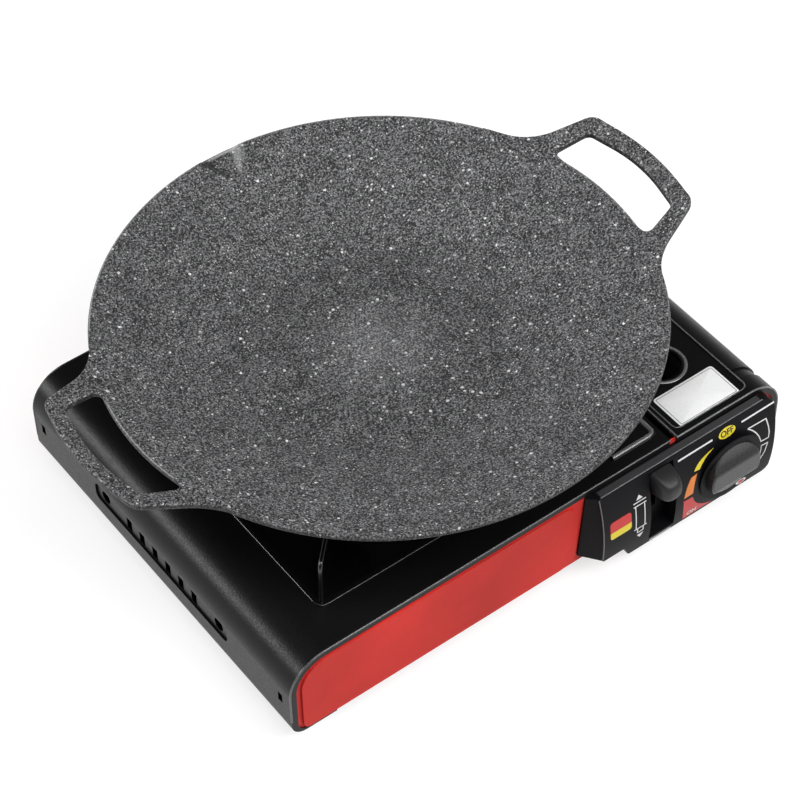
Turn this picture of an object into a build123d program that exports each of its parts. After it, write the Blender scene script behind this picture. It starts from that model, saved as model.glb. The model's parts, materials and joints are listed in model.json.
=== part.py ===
from build123d import *
import os
from math import cos, hypot, radians, sin, sqrt, tan

# Portable gas stove with a lift-off griddle plate, in millimetres.
# The origin is on the surface that the stove stands on, below the middle of its body.
# +X runs along the front to the right, +Y to the back and +Z up.

# Stove body
body_width = 352.0
body_depth = 262.0
body_height = 60.0
foot_height = 12.0
sheet = 0.8
overrun = 6.0
moving_gap = 0.5
body_left = -body_width / 2
body_right = body_width / 2
body_front = -body_depth / 2
body_back = body_depth / 2
body_bottom = foot_height
body_top = foot_height + body_height
base_top = body_bottom + sheet
panel_face = body_front + sheet
panel_back = panel_face + sheet

# Upper shell
shoulder_radius = 24.0
curl_radius = 10.0
curl_width = 30.0
flange_width = 4.2
bottom_lip = 1.6
opening_curl_radius = 7.0
lid_width = 80.6
lid_split = 3.8
shell_side_drop = 10.0
lid_left = body_right - lid_width
shell_right = lid_left - lid_split

# Burner well in the top of the shell
well_left_margin = 39.5
well_right_margin = 17.1
well_depth = 12.0
well_corner = 9.0
well_half = (shell_right - body_left - well_left_margin - well_right_margin) / 2
burner_x = body_left + well_left_margin + well_half

# Stiffening ribs at the right-hand corners of the top
rib_width = 3.4
rib_height = 1.4
rib_edge = 0.6
rib_front_length = 33.5
rib_side_length = 62.0
rib_inset_x = 2.8
rib_inset_y = 8.2
rib_corner = 3.0

# Vent panel in the left side
vent_count = 6
vent_pitch = 13.2
vent_width = 5.4
vent_corner = 1.0
vent_height = 11.0
vent_height_above_bottom = 27.0
vent_y = -2.8
vent_panel_length = 136.0
vent_panel_height = 15.0
vent_panel_corner = 5.0
vent_panel_depth = 1.2
vent_hole_radius = 4.2
vent_hole_spacing = 115.0
tab_hole_width = 4.0
tab_hole_height = 7.0
tab_hole_margin = 10.0
vent_z = body_bottom + vent_height_above_bottom

# Raised field of the red front panel
panel_inset = 1.2
field_left_margin = 7.5
field_right_margin = 152.8
field_bottom_margin = 2.2
field_top_margin = 5.8
field_proud = 1.5
field_left_radius = 17.0
field_low_radius = 5.0
field_right_radius = 12.0

# Cradle for the gas cartridge, which lies along Y
can_radius = 33.5
can_from_right = 42.0
cradle_play = 1.0
cradle_setback = 41.4
cradle_rear_gap = 29.4
cradle_floor_gap = 1.7
can_neck_radius = 13.0
can_x = body_right - can_from_right
cradle_radius = can_radius + cradle_play
can_z = cradle_floor_gap + sheet + cradle_radius
cradle_front = panel_back + cradle_setback
cradle_length = -panel_back - cradle_rear_gap - cradle_front

# Rubber feet
foot_inset_x = 36.0
foot_inset_y = 18.0
foot_radius = 8.0
foot_top_radius = 9.5
foot_recess_radius = 4.4
foot_recess_depth = 5.0
screw_radius = 1.5
screw_play = 0.1
screw_head_radius = 3.4
screw_head_height = 2.2
screw_dome = 0.8
foot_screw_tail = 2.0
foot_x = body_right - foot_inset_x
foot_y = body_back - foot_inset_y

# Lid hinge
hinge_height = 7.0
hinge_y = 92.0
knuckle_radius = 2.4
knuckle_length = 18.0
knuckle_clearance = 0.6
hinge_pin_radius = 1.2
hinge_play = 0.05
hinge_pin_proud = 0.8
hinge_x = body_right - sheet / 2
hinge_z = body_bottom + hinge_height
fixed_knuckle_y = hinge_y - knuckle_length - moving_gap
sill_top = hinge_z - knuckle_radius - knuckle_clearance

# Cartridge lid
lid_sheet = 0.7
lid_end_overhang = 0.4
lid_left_drop = 8.0
lid_recess_depth = 1.1
lid_recess_left = 3.4
lid_recess_front = 4.0
lid_recess_right = 21.5
lid_recess_corner = 4.0
lid_channel_front = 12.0
lid_channel_width = 7.7
finger_hole_from_right = 50.5
finger_hole_from_front = 48.2
finger_hole_radius = 12.3
finger_ring_width = 4.6
lid_bottom = hinge_z + knuckle_radius + knuckle_clearance
lid_half_depth = body_depth / 2 + lid_end_overhang

# Partition between burner and cartridge bay
partition_setback = 65.4
partition_foot = 9.0
partition_slot_count = 5
partition_slot_pitch = 30.0
partition_slot_length = 16.0
partition_slot_width = 4.0
partition_slot_height = 32.0
partition_right = shell_right - sheet
partition_left = partition_right - sheet
partition_front = panel_back + partition_setback

# Control fascia
fascia_left_margin = 143.0
fascia_right_margin = 10.0
fascia_right_slant = 3.5
fascia_hang = 4.0
fascia_left_hang = -5.4
fascia_step_margin = 17.0
fascia_step_run = 4.0
fascia_top_proud = 6.0
fascia_mid_proud = 12.3
fascia_mid_drop = 25.4
fascia_low_proud = 11.8
fascia_wall = 2.0
fascia_edge = 0.8
fascia_corner = 2.0
fascia_low_corner = 6.0
fascia_high_corner = 9.0
fascia_relief_drop = 6.4
fascia_left = body_right - fascia_left_margin
fascia_right = body_right - fascia_right_margin
fascia_high = body_top - flange_width - moving_gap
fascia_low = body_bottom - fascia_hang
fascia_left_low = body_bottom - fascia_left_hang
fascia_mid_z = fascia_high - fascia_mid_drop
fascia_relief_y = body_front - lid_end_overhang - moving_gap

# Lock lever and the channel that it runs in
lever_from_right = 98.0
channel_width = 19.0
channel_bottom_margin = 4.5
channel_top_margin = 2.8
channel_floor = 3.0
lever_slot_width = 5.0
lever_slot_below = 18.0
lever_slot_above = 16.0
lever_pivot_setback = 37.4
lever_pivot_height = 31.2
lever_arm_thickness = 3.0
lever_hub_radius = 6.0
lever_arm_half = 3.6
lever_arm_rise = 12.0
button_width = 16.0
button_standoff = 7.2
button_length = 13.8
button_below = 8.0
button_above = 8.0
button_nose = 5.0
button_edge = 1.4
lever_shaft_radius = 3.0
shaft_play = 0.05
lever_shaft_left_reach = 9.0
lever_finger_reach = 28.0
finger_width = 4.0
finger_thickness = 3.0
finger_height = 14.0
lever_bracket_sheet = 1.5
lever_bracket_spread = 6.0
lever_bracket_flange = 6.5
lever_bracket_reach = 6.0
lever_bracket_half = 5.8
lever_x = body_right - lever_from_right
lever_pivot_y = panel_back + lever_pivot_setback
lever_pivot_z = base_top + lever_pivot_height
button_y = body_front - button_standoff
button_z = lever_pivot_z + lever_arm_rise
finger_x = lever_x + lever_finger_reach

# Flame knob
knob_from_right = 47.5
knob_height = 23.0
knob_standoff = 1.1
skirt_radius = 23.5
skirt_depth = 2.4
skirt_edge = 0.8
grip_radius = 19.5
grip_depth = 7.0
grip_edge = 1.6
grip_half = 7.5
scoop_radius = 16.0
scoop_floor = 0.6
stem_radius = 3.0
stem_in_knob = 6.0
stem_in_valve = 9.0
stem_hole_radius = 4.5
knob_x = body_right - knob_from_right
knob_z = body_bottom + knob_height
knob_back = body_front - fascia_mid_proud - knob_standoff

# Regulator with its bracket
bracket_sheet = 2.0
bracket_left_margin = 35.0
bracket_right_margin = 27.5
bracket_low_margin = 20.0
bracket_high_margin = 26.0
regulator_radius = 17.0
regulator_length = 21.0
inlet_radius = 10.0
inlet_length = 13.0
inlet_bore = 4.0
seal_radius = 7.0
seal_thickness = 2.0
cover_radius = 9.5
cover_seat = 1.5
cover_thickness = 3.0
cover_edge = 1.0
cover_screw_count = 3
cover_screw_circle = 6.6
cover_screw_radius = 1.3
cover_screw_height = 1.2
regulator_front = panel_back + bracket_sheet
regulator_back = regulator_front + regulator_length
inlet_end = regulator_back + inlet_length
cover_z = knob_z + regulator_radius + cover_seat
cover_y = (regulator_front + regulator_back) / 2

# Cartridge clamp and its guide rods
clamp_sheet = 2.0
clamp_half = 22.25
clamp_below = 21.5
clamp_above = 19.0
clamp_tab_overlap = 1.0
clamp_tab_height = 6.0
clamp_gap = 0.8
clamp_corner = 2.0
rod_radius = 2.0
rod_half = 18.3
rod_below = 17.5
rod_short = 2.0
clamp_back = lever_pivot_y - finger_thickness / 2 - clamp_gap
rod_z = can_z - rod_below
rod_back = cradle_front - rod_short

# Gas path from the regulator to the burner
tube_height = 15.2
tube_aim_left = 20.5
tube_aim_back = 21.4
tube_radius = 8.0
tube_wall = 1.0
mouth_radius = 9.5
mouth_length = 9.0
tube_end_gap = 18.0
jet_gap = 2.0
jet_length = 16.0
jet_radius = 4.0
jet_tip_radius = 2.0
jet_tip_length = 5.0
jet_bore = 0.6
outlet_radius = 6.0
outlet_length = 12.0
tube_z = base_top + tube_height
tube_run_x = knob_x - tube_aim_left - burner_x
tube_run_y = panel_back + tube_aim_back
tube_run = hypot(tube_run_x, tube_run_y)
tube_far = tube_run - tube_end_gap

# Burner
plate_sheet = 1.5
plate_half = 52.0
plate_width = 20.0
plate_corner = 4.0
plate_screw_reach = 42.0
bowl_neck_radius = 18.0
bowl_neck_drop = 28.0
bowl_wall = 3.5
bowl_radius = 40.0
bowl_flare_drop = 8.0
bowl_rise = 2.0
bowl_floor = 4.0
inlet_boss_radius = 11.0
inlet_boss_reach = 36.0
tube_seat = 6.0
tube_play = 0.1
head_overhang = 2.0
head_wall = 8.0
head_spigot_play = 0.4
head_spigot = 3.5
head_height = 13.5
head_roof = 6.0
head_bevel = 4.5
head_dish_radius = 15.0
head_dish = 3.0
port_count = 28
port_width = 2.2
port_height = 4.6
port_lift = 1.6
burner_opening_gap = 20.0
bowl_bottom = base_top + plate_sheet
bowl_top = body_top + bowl_rise
head_radius = bowl_radius + head_overhang
head_top = bowl_top + head_height
burner_opening_radius = head_radius + burner_opening_gap

# Igniter
electrode_angle = -40.0
electrode_gap = 5.0
insulator_radius = 2.8
insulator_drop = 19.0
insulator_rise = 8.0
electrode_radius = 0.8
electrode_tip = 6.0
clip_drop = 6.0
clip_sheet = 1.6
clip_width = 9.0
clip_end = 4.5
piezo_reach = 20.5
piezo_drop = 18.0
piezo_radius = 5.6
piezo_length = 18.0
piezo_cap = 4.0
piezo_cap_radius = 4.2
lead_radius = 1.1
lead_bend_share = 0.45
lead_rise = 7.0
lead_start = 8.4
lead_shares = (0.28, 0.63, 0.92)
lead_sways = (1.0, 3.8, 1.8)
lead_sags = (1.7, 4.0, 2.6)
electrode_reach = head_radius + electrode_gap
electrode_x = burner_x + electrode_reach * cos(radians(electrode_angle))
electrode_y = electrode_reach * sin(radians(electrode_angle))
insulator_low = body_top - insulator_drop
insulator_high = body_top + insulator_rise
piezo_x = lever_x + piezo_reach
piezo_z = body_top - piezo_drop
piezo_end = regulator_front + piezo_length + piezo_cap

# Pan support
support_overlap = 1.5
support_rim = 3.0
support_sheet = 1.0
support_floor_margin = 15.0
support_drop = 9.0
support_hole_gap = 13.0
support_corner = 4.0
fin_thickness = 2.4
fin_height = 30.0
fin_outer_lean = 2.5
fin_chamfer = 3.0
fin_head_gap = 16.0
fin_nose_run = 8.0
fin_nose_drop = 5.0
fin_nose_depth = 5.0
fin_foot_inset = 7.0
support_half = well_half + support_overlap
support_hole_radius = head_radius + support_hole_gap
support_top = body_top + support_sheet
support_floor_half = support_hole_radius + support_floor_margin
fin_top = body_top + fin_height

# Griddle plate
griddle_shift_x = 16.2
griddle_y = 3.0
griddle_radius = 164.0
griddle_base_radius = 78.0
griddle_rise = 34.0
griddle_wall = 4.5
griddle_floor = 5.0
griddle_lip = 3.5
griddle_bend = 60.0
handle_reach = 36.5
handle_corner_reach = 30.0
handle_tilt = 19.0
handle_thickness = 5.5
handle_edge = 1.6
handle_root_half = 68.0
handle_root_slot_half = 45.0
handle_waist = 3.0
handle_slot_waist = 0.5
handle_half = 47.0
handle_bar = 11.0
handle_arm = 8.5
handle_root_overlap = 14.0
handle_corner = 10.0
handle_slot_corner = 5.5
spout_radius = 14.0
spout_depth = 2.6
spout_x = -4.0
spout_length = 24.0
griddle_x = burner_x + griddle_shift_x
griddle_top = fin_top + griddle_rise


def front_plane(y):
    """Plane at this y that faces the front, with its sketch along X and Z."""
    return Plane.XZ.offset(-y)


def side_plane(x):
    """Plane at this x that faces right, with its sketch along Y and Z."""
    return Plane.YZ.offset(x)


def level(z):
    """Horizontal plane at this height."""
    return Plane.XY.offset(z)


def gas_plane(reach):
    """Plane across the mixing tube at this reach from the burner's axis, facing the burner."""
    toward = Vector(tube_run_x / tube_run, tube_run_y / tube_run, 0)
    return Plane(origin=Vector(burner_x, 0, tube_z) + toward * reach, z_dir=-toward)


def upright_plane(x, y):
    """Plane through a vertical axis at x and y, with its sketch along X and Z."""
    return Plane(origin=(x, y, 0), x_dir=(1, 0, 0), z_dir=(0, -1, 0))


def block(xs, ys, zs, mode=Mode.ADD):
    """Box between two limits on each axis."""
    middle = [(low + high) / 2 for low, high in (xs, ys, zs)]
    size = [high - low for low, high in (xs, ys, zs)]
    with Locations(tuple(middle)):
        Box(*size, mode=mode)


def round_outline(points, radii, mode=Mode.ADD):
    """Closed outline with one radius for each corner, 0 where the corner is sharp."""
    with BuildSketch(mode=Mode.PRIVATE) as outline:
        Polygon(*points)
        for point, radius in zip(points, radii):
            if radius > 0:
                fillet(outline.vertices().sort_by_distance(Vector(*point))[0], radius)
    add(outline.sketch_local, mode=mode)


def round_frame(left, right, low, high, radii, mode=Mode.ADD):
    """Upright rectangle, its corners rounded from bottom left round to top left."""
    points = [(left, low), (right, low), (right, high), (left, high)]
    round_outline(points, radii, mode)


def shell_outline(inset):
    """End outline of the upper shell, drawn in by inset on every side."""
    radii = [curl_radius - inset, 0, 0, shoulder_radius - inset]
    low = body_bottom + inset
    round_frame(body_left + inset, shell_right - inset, low, body_top - inset, radii)


def lid_outline(inset, low, mode=Mode.ADD):
    """End outline of the lid with its right shoulder, drawn in by inset down to low."""
    radii = [0, 0, shoulder_radius - inset, 0]
    round_frame(lid_left + inset, body_right - inset, low, body_top - inset, radii, mode)


def wall_outline():
    """Outline of the front and rear panels, inside the flanges of shell and lid."""
    corner = shoulder_radius - panel_inset
    radii = [curl_radius - panel_inset, 0, corner, corner]
    left = body_left + panel_inset
    right = body_right - panel_inset
    round_frame(left, right, base_top, body_top - panel_inset, radii)


def field_outline(inset):
    """Outline of the raised field of the front panel, drawn in by inset."""
    radii = [field_low_radius, field_right_radius, field_right_radius, field_left_radius]
    round_frame(
        body_left + field_left_margin + inset,
        body_right - field_right_margin - inset,
        body_bottom + field_bottom_margin + inset,
        body_top - field_top_margin - inset,
        [radius - inset for radius in radii],
    )


def fascia_section(inset, low, back):
    """Side view of the fascia with its bowed face, drawn in by inset."""
    high = fascia_high - inset
    front_high = (body_front - fascia_top_proud + inset, high)
    front_mid = (body_front - fascia_mid_proud + inset, fascia_mid_z)
    front_low = (body_front - fascia_low_proud + inset, low)
    with BuildLine(mode=Mode.PRIVATE) as outline:
        ThreePointArc(front_high, front_mid, front_low)
        Polyline(front_low, (back, low), (back, high), front_high)
    make_face(outline.edges())


def handle_outline(half, root_half, corner_reach, reach, corner, waist):
    """Plan of a griddle handle from the rim outwards, with a bowed outer edge and waisted sides."""
    corners = [(corner_reach, half), (corner_reach, -half)]
    with BuildSketch(mode=Mode.PRIVATE) as plan:
        waist_x = (corner_reach - handle_root_overlap) / 2
        waist_y = (half + root_half) / 2 - waist
        with BuildLine():
            ThreePointArc(corners[0], (reach, 0), corners[1])
            ThreePointArc(corners[1], (waist_x, -waist_y), (-handle_root_overlap, -root_half))
            Line((-handle_root_overlap, -root_half), (-handle_root_overlap, root_half))
            ThreePointArc((-handle_root_overlap, root_half), (waist_x, waist_y), corners[0])
        make_face()
        for point in corners:
            fillet(plan.vertices().sort_by_distance(Vector(*point))[0], corner)
    return plan.sketch_local


def bend_radii(points):
    """Largest radius that the runs allow at each inner point of a route."""
    radii = []
    for before, at, after in zip(points, points[1:], points[2:]):
        arrive = at - before
        leave = after - at
        turn = radians(arrive.get_angle(leave))
        shorter = min(arrive.length, leave.length)
        radii.append(lead_bend_share * shorter / tan(turn / 2))
    return radii


def finish(piece, name):
    """Label a finished piece and write it as its own node."""
    piece.part.label = name
    export_step(piece.part, f"parts/{name}.step")


os.makedirs("parts", exist_ok=True)
along = (body_front - overrun, body_back + overrun)
upward = (Align.CENTER, Align.CENTER, Align.MIN)

# Upper shell, pressed from one sheet
with BuildPart() as upper_shell:
    with BuildSketch(Plane.XZ):
        shell_outline(0)
    extrude(amount=body_depth / 2, both=True)
    with BuildSketch(Plane.XZ):
        shell_outline(sheet)
    extrude(amount=body_depth / 2 - sheet, both=True, mode=Mode.SUBTRACT)
    with BuildSketch(Plane.XZ):
        round_frame(
            body_left + flange_width,
            shell_right - sheet,
            body_bottom + bottom_lip,
            body_top - flange_width,
            [opening_curl_radius, 0, 0, shoulder_radius - flange_width],
        )
    extrude(amount=body_depth / 2 + overrun, both=True, mode=Mode.SUBTRACT)
    block(
        (body_left + curl_width, shell_right + overrun),
        along,
        (body_bottom - overrun, body_bottom + bottom_lip),
        mode=Mode.SUBTRACT,
    )
    block(
        (shell_right - sheet, shell_right + overrun),
        along,
        (body_bottom - overrun, body_top - shell_side_drop),
        mode=Mode.SUBTRACT,
    )
    # Notches where the turned-down side passes the front and rear walls
    for side in (-1, 1):
        with Locations((shell_right, side * panel_face, body_top - sheet)):
            Box(
                2 * sheet,
                2 * (sheet + moving_gap),
                2 * shell_side_drop,
                align=(Align.CENTER, Align.CENTER, Align.MAX),
                mode=Mode.SUBTRACT,
            )
    # Well for the pan support, with the opening for the burner in its floor
    with BuildSketch(level(body_top)):
        with Locations((burner_x, 0)):
            RectangleRounded(2 * (well_half + sheet), 2 * (well_half + sheet), well_corner + sheet)
    extrude(amount=-well_depth - sheet)
    with BuildSketch(level(body_top)):
        with Locations((burner_x, 0)):
            RectangleRounded(2 * well_half, 2 * well_half, well_corner)
    extrude(amount=-well_depth, mode=Mode.SUBTRACT)
    with BuildSketch(level(body_top - well_depth)):
        with Locations((burner_x, 0)):
            Circle(burner_opening_radius)
    extrude(amount=-well_depth, mode=Mode.SUBTRACT)
    # Corner ribs
    with BuildSketch(level(body_top)):
        rib_x = shell_right - rib_inset_x
        rib_y = body_front + rib_inset_y
        round_outline(
            [
                (rib_x - rib_front_length, rib_y),
                (rib_x, rib_y),
                (rib_x, rib_y + rib_side_length),
                (rib_x - rib_width, rib_y + rib_side_length),
                (rib_x - rib_width, rib_y + rib_width),
                (rib_x - rib_front_length, rib_y + rib_width),
            ],
            [0, rib_corner, 0, 0, 0, 0],
        )
        mirror(about=Plane.XZ)
    extrude(amount=rib_height)
    chamfer(upper_shell.faces().filter_by(Axis.Z).group_by(Axis.Z)[-1].edges(), rib_edge)
    # Sunk vent panel in the left side, with its slots and holes
    with BuildSketch(side_plane(body_left + sheet)):
        with Locations((vent_y, vent_z)):
            RectangleRounded(vent_panel_length, vent_panel_height, vent_panel_corner)
    extrude(amount=vent_panel_depth)
    with BuildSketch(side_plane(body_left - overrun)):
        with Locations((vent_y, vent_z)):
            RectangleRounded(
                vent_panel_length - 2 * sheet,
                vent_panel_height - 2 * sheet,
                vent_panel_corner - sheet,
            )
    extrude(amount=overrun + vent_panel_depth, mode=Mode.SUBTRACT)
    with BuildSketch(side_plane(body_left - overrun)):
        for index in range(vent_count):
            with Locations((vent_y + (index - (vent_count - 1) / 2) * vent_pitch, vent_z)):
                RectangleRounded(vent_width, vent_height, vent_corner)
        for side in (-1, 1):
            with Locations((vent_y + side * vent_hole_spacing / 2, vent_z)):
                Circle(vent_hole_radius)
            with Locations((side * (body_back - tab_hole_margin), vent_z)):
                Rectangle(tab_hole_width, tab_hole_height)
    extrude(amount=overrun + sheet + vent_panel_depth + overrun, mode=Mode.SUBTRACT)
finish(upper_shell, "upper_shell")

# Red front panel with its raised field, and the plain rear panel
with BuildPart() as front_panel:
    with BuildSketch(front_plane(panel_back)):
        wall_outline()
    extrude(amount=sheet)
    with BuildSketch(front_plane(panel_face)):
        field_outline(0)
    extrude(amount=field_proud)
    with BuildSketch(front_plane(panel_back)):
        field_outline(sheet)
    extrude(amount=field_proud, mode=Mode.SUBTRACT)
    # Openings for the lever and the valve stem
    with BuildSketch(front_plane(panel_back)):
        with Locations((lever_x, lever_pivot_z + (lever_slot_above - lever_slot_below) / 2)):
            Rectangle(lever_slot_width, lever_slot_above + lever_slot_below)
        with Locations((knob_x, knob_z)):
            Circle(stem_hole_radius)
    extrude(amount=overrun, mode=Mode.SUBTRACT)
finish(front_panel, "front_panel")

with BuildPart() as rear_panel:
    with BuildSketch(front_plane(-panel_face)):
        wall_outline()
    extrude(amount=sheet)
finish(rear_panel, "rear_panel")

# Base tray with the sill that carries the lid's hinge
with BuildPart() as base_tray:
    block(
        (body_left + curl_width + moving_gap, body_right),
        (panel_face, -panel_face),
        (body_bottom, base_top),
    )
    block((body_right - sheet, body_right), (panel_back, -panel_back), (body_bottom, sill_top))
    with BuildSketch(front_plane(cradle_front + cradle_length)):
        with Locations((can_x, can_z)):
            Circle(cradle_radius + sheet)
    extrude(amount=cradle_length, mode=Mode.SUBTRACT)
    for side in (-1, 1):
        with BuildSketch(front_plane(side * fixed_knuckle_y + knuckle_length / 2)):
            with Locations((hinge_x, hinge_z)):
                Circle(knuckle_radius)
            with Locations((hinge_x, body_bottom)):
                Rectangle(sheet, hinge_height, align=(Align.CENTER, Align.MIN))
            with Locations((hinge_x, hinge_z)):
                Circle(hinge_pin_radius + hinge_play, mode=Mode.SUBTRACT)
        extrude(amount=knuckle_length)
    with BuildSketch(level(body_bottom)):
        with GridLocations(2 * foot_x, 2 * foot_y, 2, 2):
            Circle(screw_radius + screw_play)
        for side in (-1, 1):
            with Locations((burner_x + side * plate_screw_reach, 0)):
                Circle(screw_radius + screw_play)
    extrude(amount=sheet, mode=Mode.SUBTRACT)
finish(base_tray, "base_tray")

# Round cradle that the cartridge lies in, let into the base
with BuildPart() as cartridge_cradle:
    with BuildSketch(front_plane(cradle_front + cradle_length)):
        with Locations((can_x, can_z)):
            Circle(cradle_radius + sheet)
        with Locations((can_x, base_top)):
            Rectangle(
                3 * cradle_radius,
                3 * cradle_radius,
                align=(Align.CENTER, Align.MIN),
                mode=Mode.SUBTRACT,
            )
    extrude(amount=cradle_length)
    with BuildSketch(front_plane(cradle_front + cradle_length - sheet)):
        with Locations((can_x, can_z)):
            Circle(cradle_radius)
    extrude(amount=cradle_length - 2 * sheet, mode=Mode.SUBTRACT)
finish(cartridge_cradle, "cartridge_cradle")

# Rubber feet with the screws that hold them
with BuildPart() as rubber_feet:
    with GridLocations(2 * foot_x, 2 * foot_y, 2, 2):
        Cone(foot_radius, foot_top_radius, foot_height, align=upward)
        Cylinder(foot_recess_radius, foot_recess_depth, align=upward, mode=Mode.SUBTRACT)
        Cylinder(screw_radius + screw_play, foot_height, align=upward, mode=Mode.SUBTRACT)
finish(rubber_feet, "rubber_feet")

with BuildPart() as foot_screws:
    with BuildSketch(level(foot_recess_depth)):
        with GridLocations(2 * foot_x, 2 * foot_y, 2, 2):
            Circle(screw_head_radius)
    extrude(amount=-screw_head_height)
    chamfer(foot_screws.faces().filter_by(Axis.Z).group_by(Axis.Z)[0].edges(), screw_dome)
    with BuildSketch(level(foot_recess_depth)):
        with GridLocations(2 * foot_x, 2 * foot_y, 2, 2):
            Circle(screw_radius)
    extrude(amount=base_top + foot_screw_tail - foot_recess_depth)
finish(foot_screws, "foot_screws")

# Hinge pins, one through each pair of knuckles
with BuildPart() as hinge_pins:
    pin_length = 2 * knuckle_length + moving_gap + 2 * hinge_pin_proud
    pin_y = (hinge_y + fixed_knuckle_y) / 2
    for side in (-1, 1):
        with BuildSketch(front_plane(side * pin_y + pin_length / 2)):
            with Locations((hinge_x, hinge_z)):
                Circle(hinge_pin_radius)
        extrude(amount=pin_length)
finish(hinge_pins, "hinge_pins")

# Cartridge lid with its rolled shoulder, sunk top and finger hole
with BuildPart() as cartridge_lid:
    with BuildSketch(Plane.XZ):
        lid_outline(0, lid_bottom)
    extrude(amount=lid_half_depth, both=True)
    with BuildSketch(Plane.XZ):
        lid_outline(lid_sheet, lid_bottom - overrun)
    extrude(amount=lid_half_depth - lid_sheet, both=True, mode=Mode.SUBTRACT)
    with BuildSketch(Plane.XZ):
        round_frame(
            lid_left + lid_sheet,
            body_right - flange_width,
            lid_bottom - overrun,
            body_top - flange_width,
            [0, 0, shoulder_radius - flange_width, 0],
        )
    extrude(amount=lid_half_depth + overrun, both=True, mode=Mode.SUBTRACT)
    block(
        (lid_left - overrun, lid_left + lid_sheet),
        along,
        (lid_bottom - overrun, body_top - lid_left_drop),
        mode=Mode.SUBTRACT,
    )
    # Notches where the turned-down left side passes the front and rear walls
    for side in (-1, 1):
        with Locations((lid_left, side * panel_face, body_top - lid_sheet)):
            Box(
                2 * lid_sheet,
                2 * (sheet + moving_gap),
                2 * lid_left_drop,
                align=(Align.CENTER, Align.CENTER, Align.MAX),
                mode=Mode.SUBTRACT,
            )
    # Sunk middle of the top
    recess_left = lid_left + lid_recess_left
    recess_right = body_right - lid_recess_right
    recess_width = recess_right - recess_left
    recess_depth = body_depth - 2 * lid_recess_front
    with BuildSketch(level(body_top - lid_sheet)):
        with Locations(((recess_left + recess_right) / 2, 0)):
            RectangleRounded(recess_width, recess_depth, lid_recess_corner)
    extrude(amount=-lid_recess_depth)
    with BuildSketch(level(body_top)):
        with Locations(((recess_left + recess_right) / 2, 0)):
            RectangleRounded(
                recess_width - 2 * lid_sheet,
                recess_depth - 2 * lid_sheet,
                lid_recess_corner - lid_sheet,
            )
    extrude(amount=-lid_recess_depth, mode=Mode.SUBTRACT)
    # Channel that runs from the sunk middle over the shoulder
    channel_back = body_front + lid_channel_front + lid_channel_width
    channel_start = recess_right - 2 * lid_sheet
    with BuildSketch(front_plane(channel_back + lid_sheet)):
        lid_outline(lid_sheet, lid_bottom)
        lid_outline(lid_sheet + lid_recess_depth, lid_bottom - overrun, mode=Mode.SUBTRACT)
        with Locations((channel_start, 0)):
            Rectangle(body_width, 2 * body_top, align=(Align.MAX, Align.MIN), mode=Mode.SUBTRACT)
    extrude(amount=lid_channel_width + 2 * lid_sheet)
    with BuildSketch(front_plane(channel_back)):
        lid_outline(-overrun, lid_bottom - overrun)
        lid_outline(lid_recess_depth, lid_bottom - 2 * overrun, mode=Mode.SUBTRACT)
        with Locations((channel_start, 0)):
            Rectangle(body_width, 2 * body_top, align=(Align.MAX, Align.MIN), mode=Mode.SUBTRACT)
    extrude(amount=lid_channel_width, mode=Mode.SUBTRACT)
    # Finger hole in its raised ring
    with BuildSketch(level(body_top - lid_recess_depth)):
        with Locations((body_right - finger_hole_from_right, body_front + finger_hole_from_front)):
            Circle(finger_hole_radius + finger_ring_width)
    extrude(amount=lid_recess_depth)
    with BuildSketch(level(body_top)):
        with Locations((body_right - finger_hole_from_right, body_front + finger_hole_from_front)):
            Circle(finger_hole_radius)
    extrude(amount=-lid_recess_depth - lid_sheet, mode=Mode.SUBTRACT)
    # Hinge knuckles below the right wall
    for side in (-1, 1):
        with BuildSketch(front_plane(side * hinge_y + knuckle_length / 2)):
            with Locations((hinge_x, hinge_z)):
                Circle(knuckle_radius)
            with Locations((body_right - lid_sheet / 2, hinge_z)):
                Rectangle(lid_sheet, lid_bottom - hinge_z + lid_sheet, align=(Align.CENTER, Align.MIN))
            with Locations((hinge_x, hinge_z)):
                Circle(hinge_pin_radius + hinge_play, mode=Mode.SUBTRACT)
        extrude(amount=knuckle_length)
finish(cartridge_lid, "cartridge_lid")

# Partition with its bent foot and cooling slots
with BuildPart() as partition:
    block(
        (partition_left, partition_right),
        (partition_front, -panel_back),
        (base_top, body_top - sheet),
    )
    block(
        (partition_left - partition_foot, partition_left),
        (partition_front, -panel_back),
        (base_top, base_top + sheet),
    )
    with BuildSketch(side_plane(partition_left - overrun)):
        slot_y = (partition_front - panel_back) / 2
        with Locations((slot_y, base_top + partition_slot_height)):
            with GridLocations(partition_slot_pitch, partition_slot_pitch, partition_slot_count, 1):
                SlotOverall(partition_slot_length, partition_slot_width)
    extrude(amount=2 * overrun, mode=Mode.SUBTRACT)
finish(partition, "partition")

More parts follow.
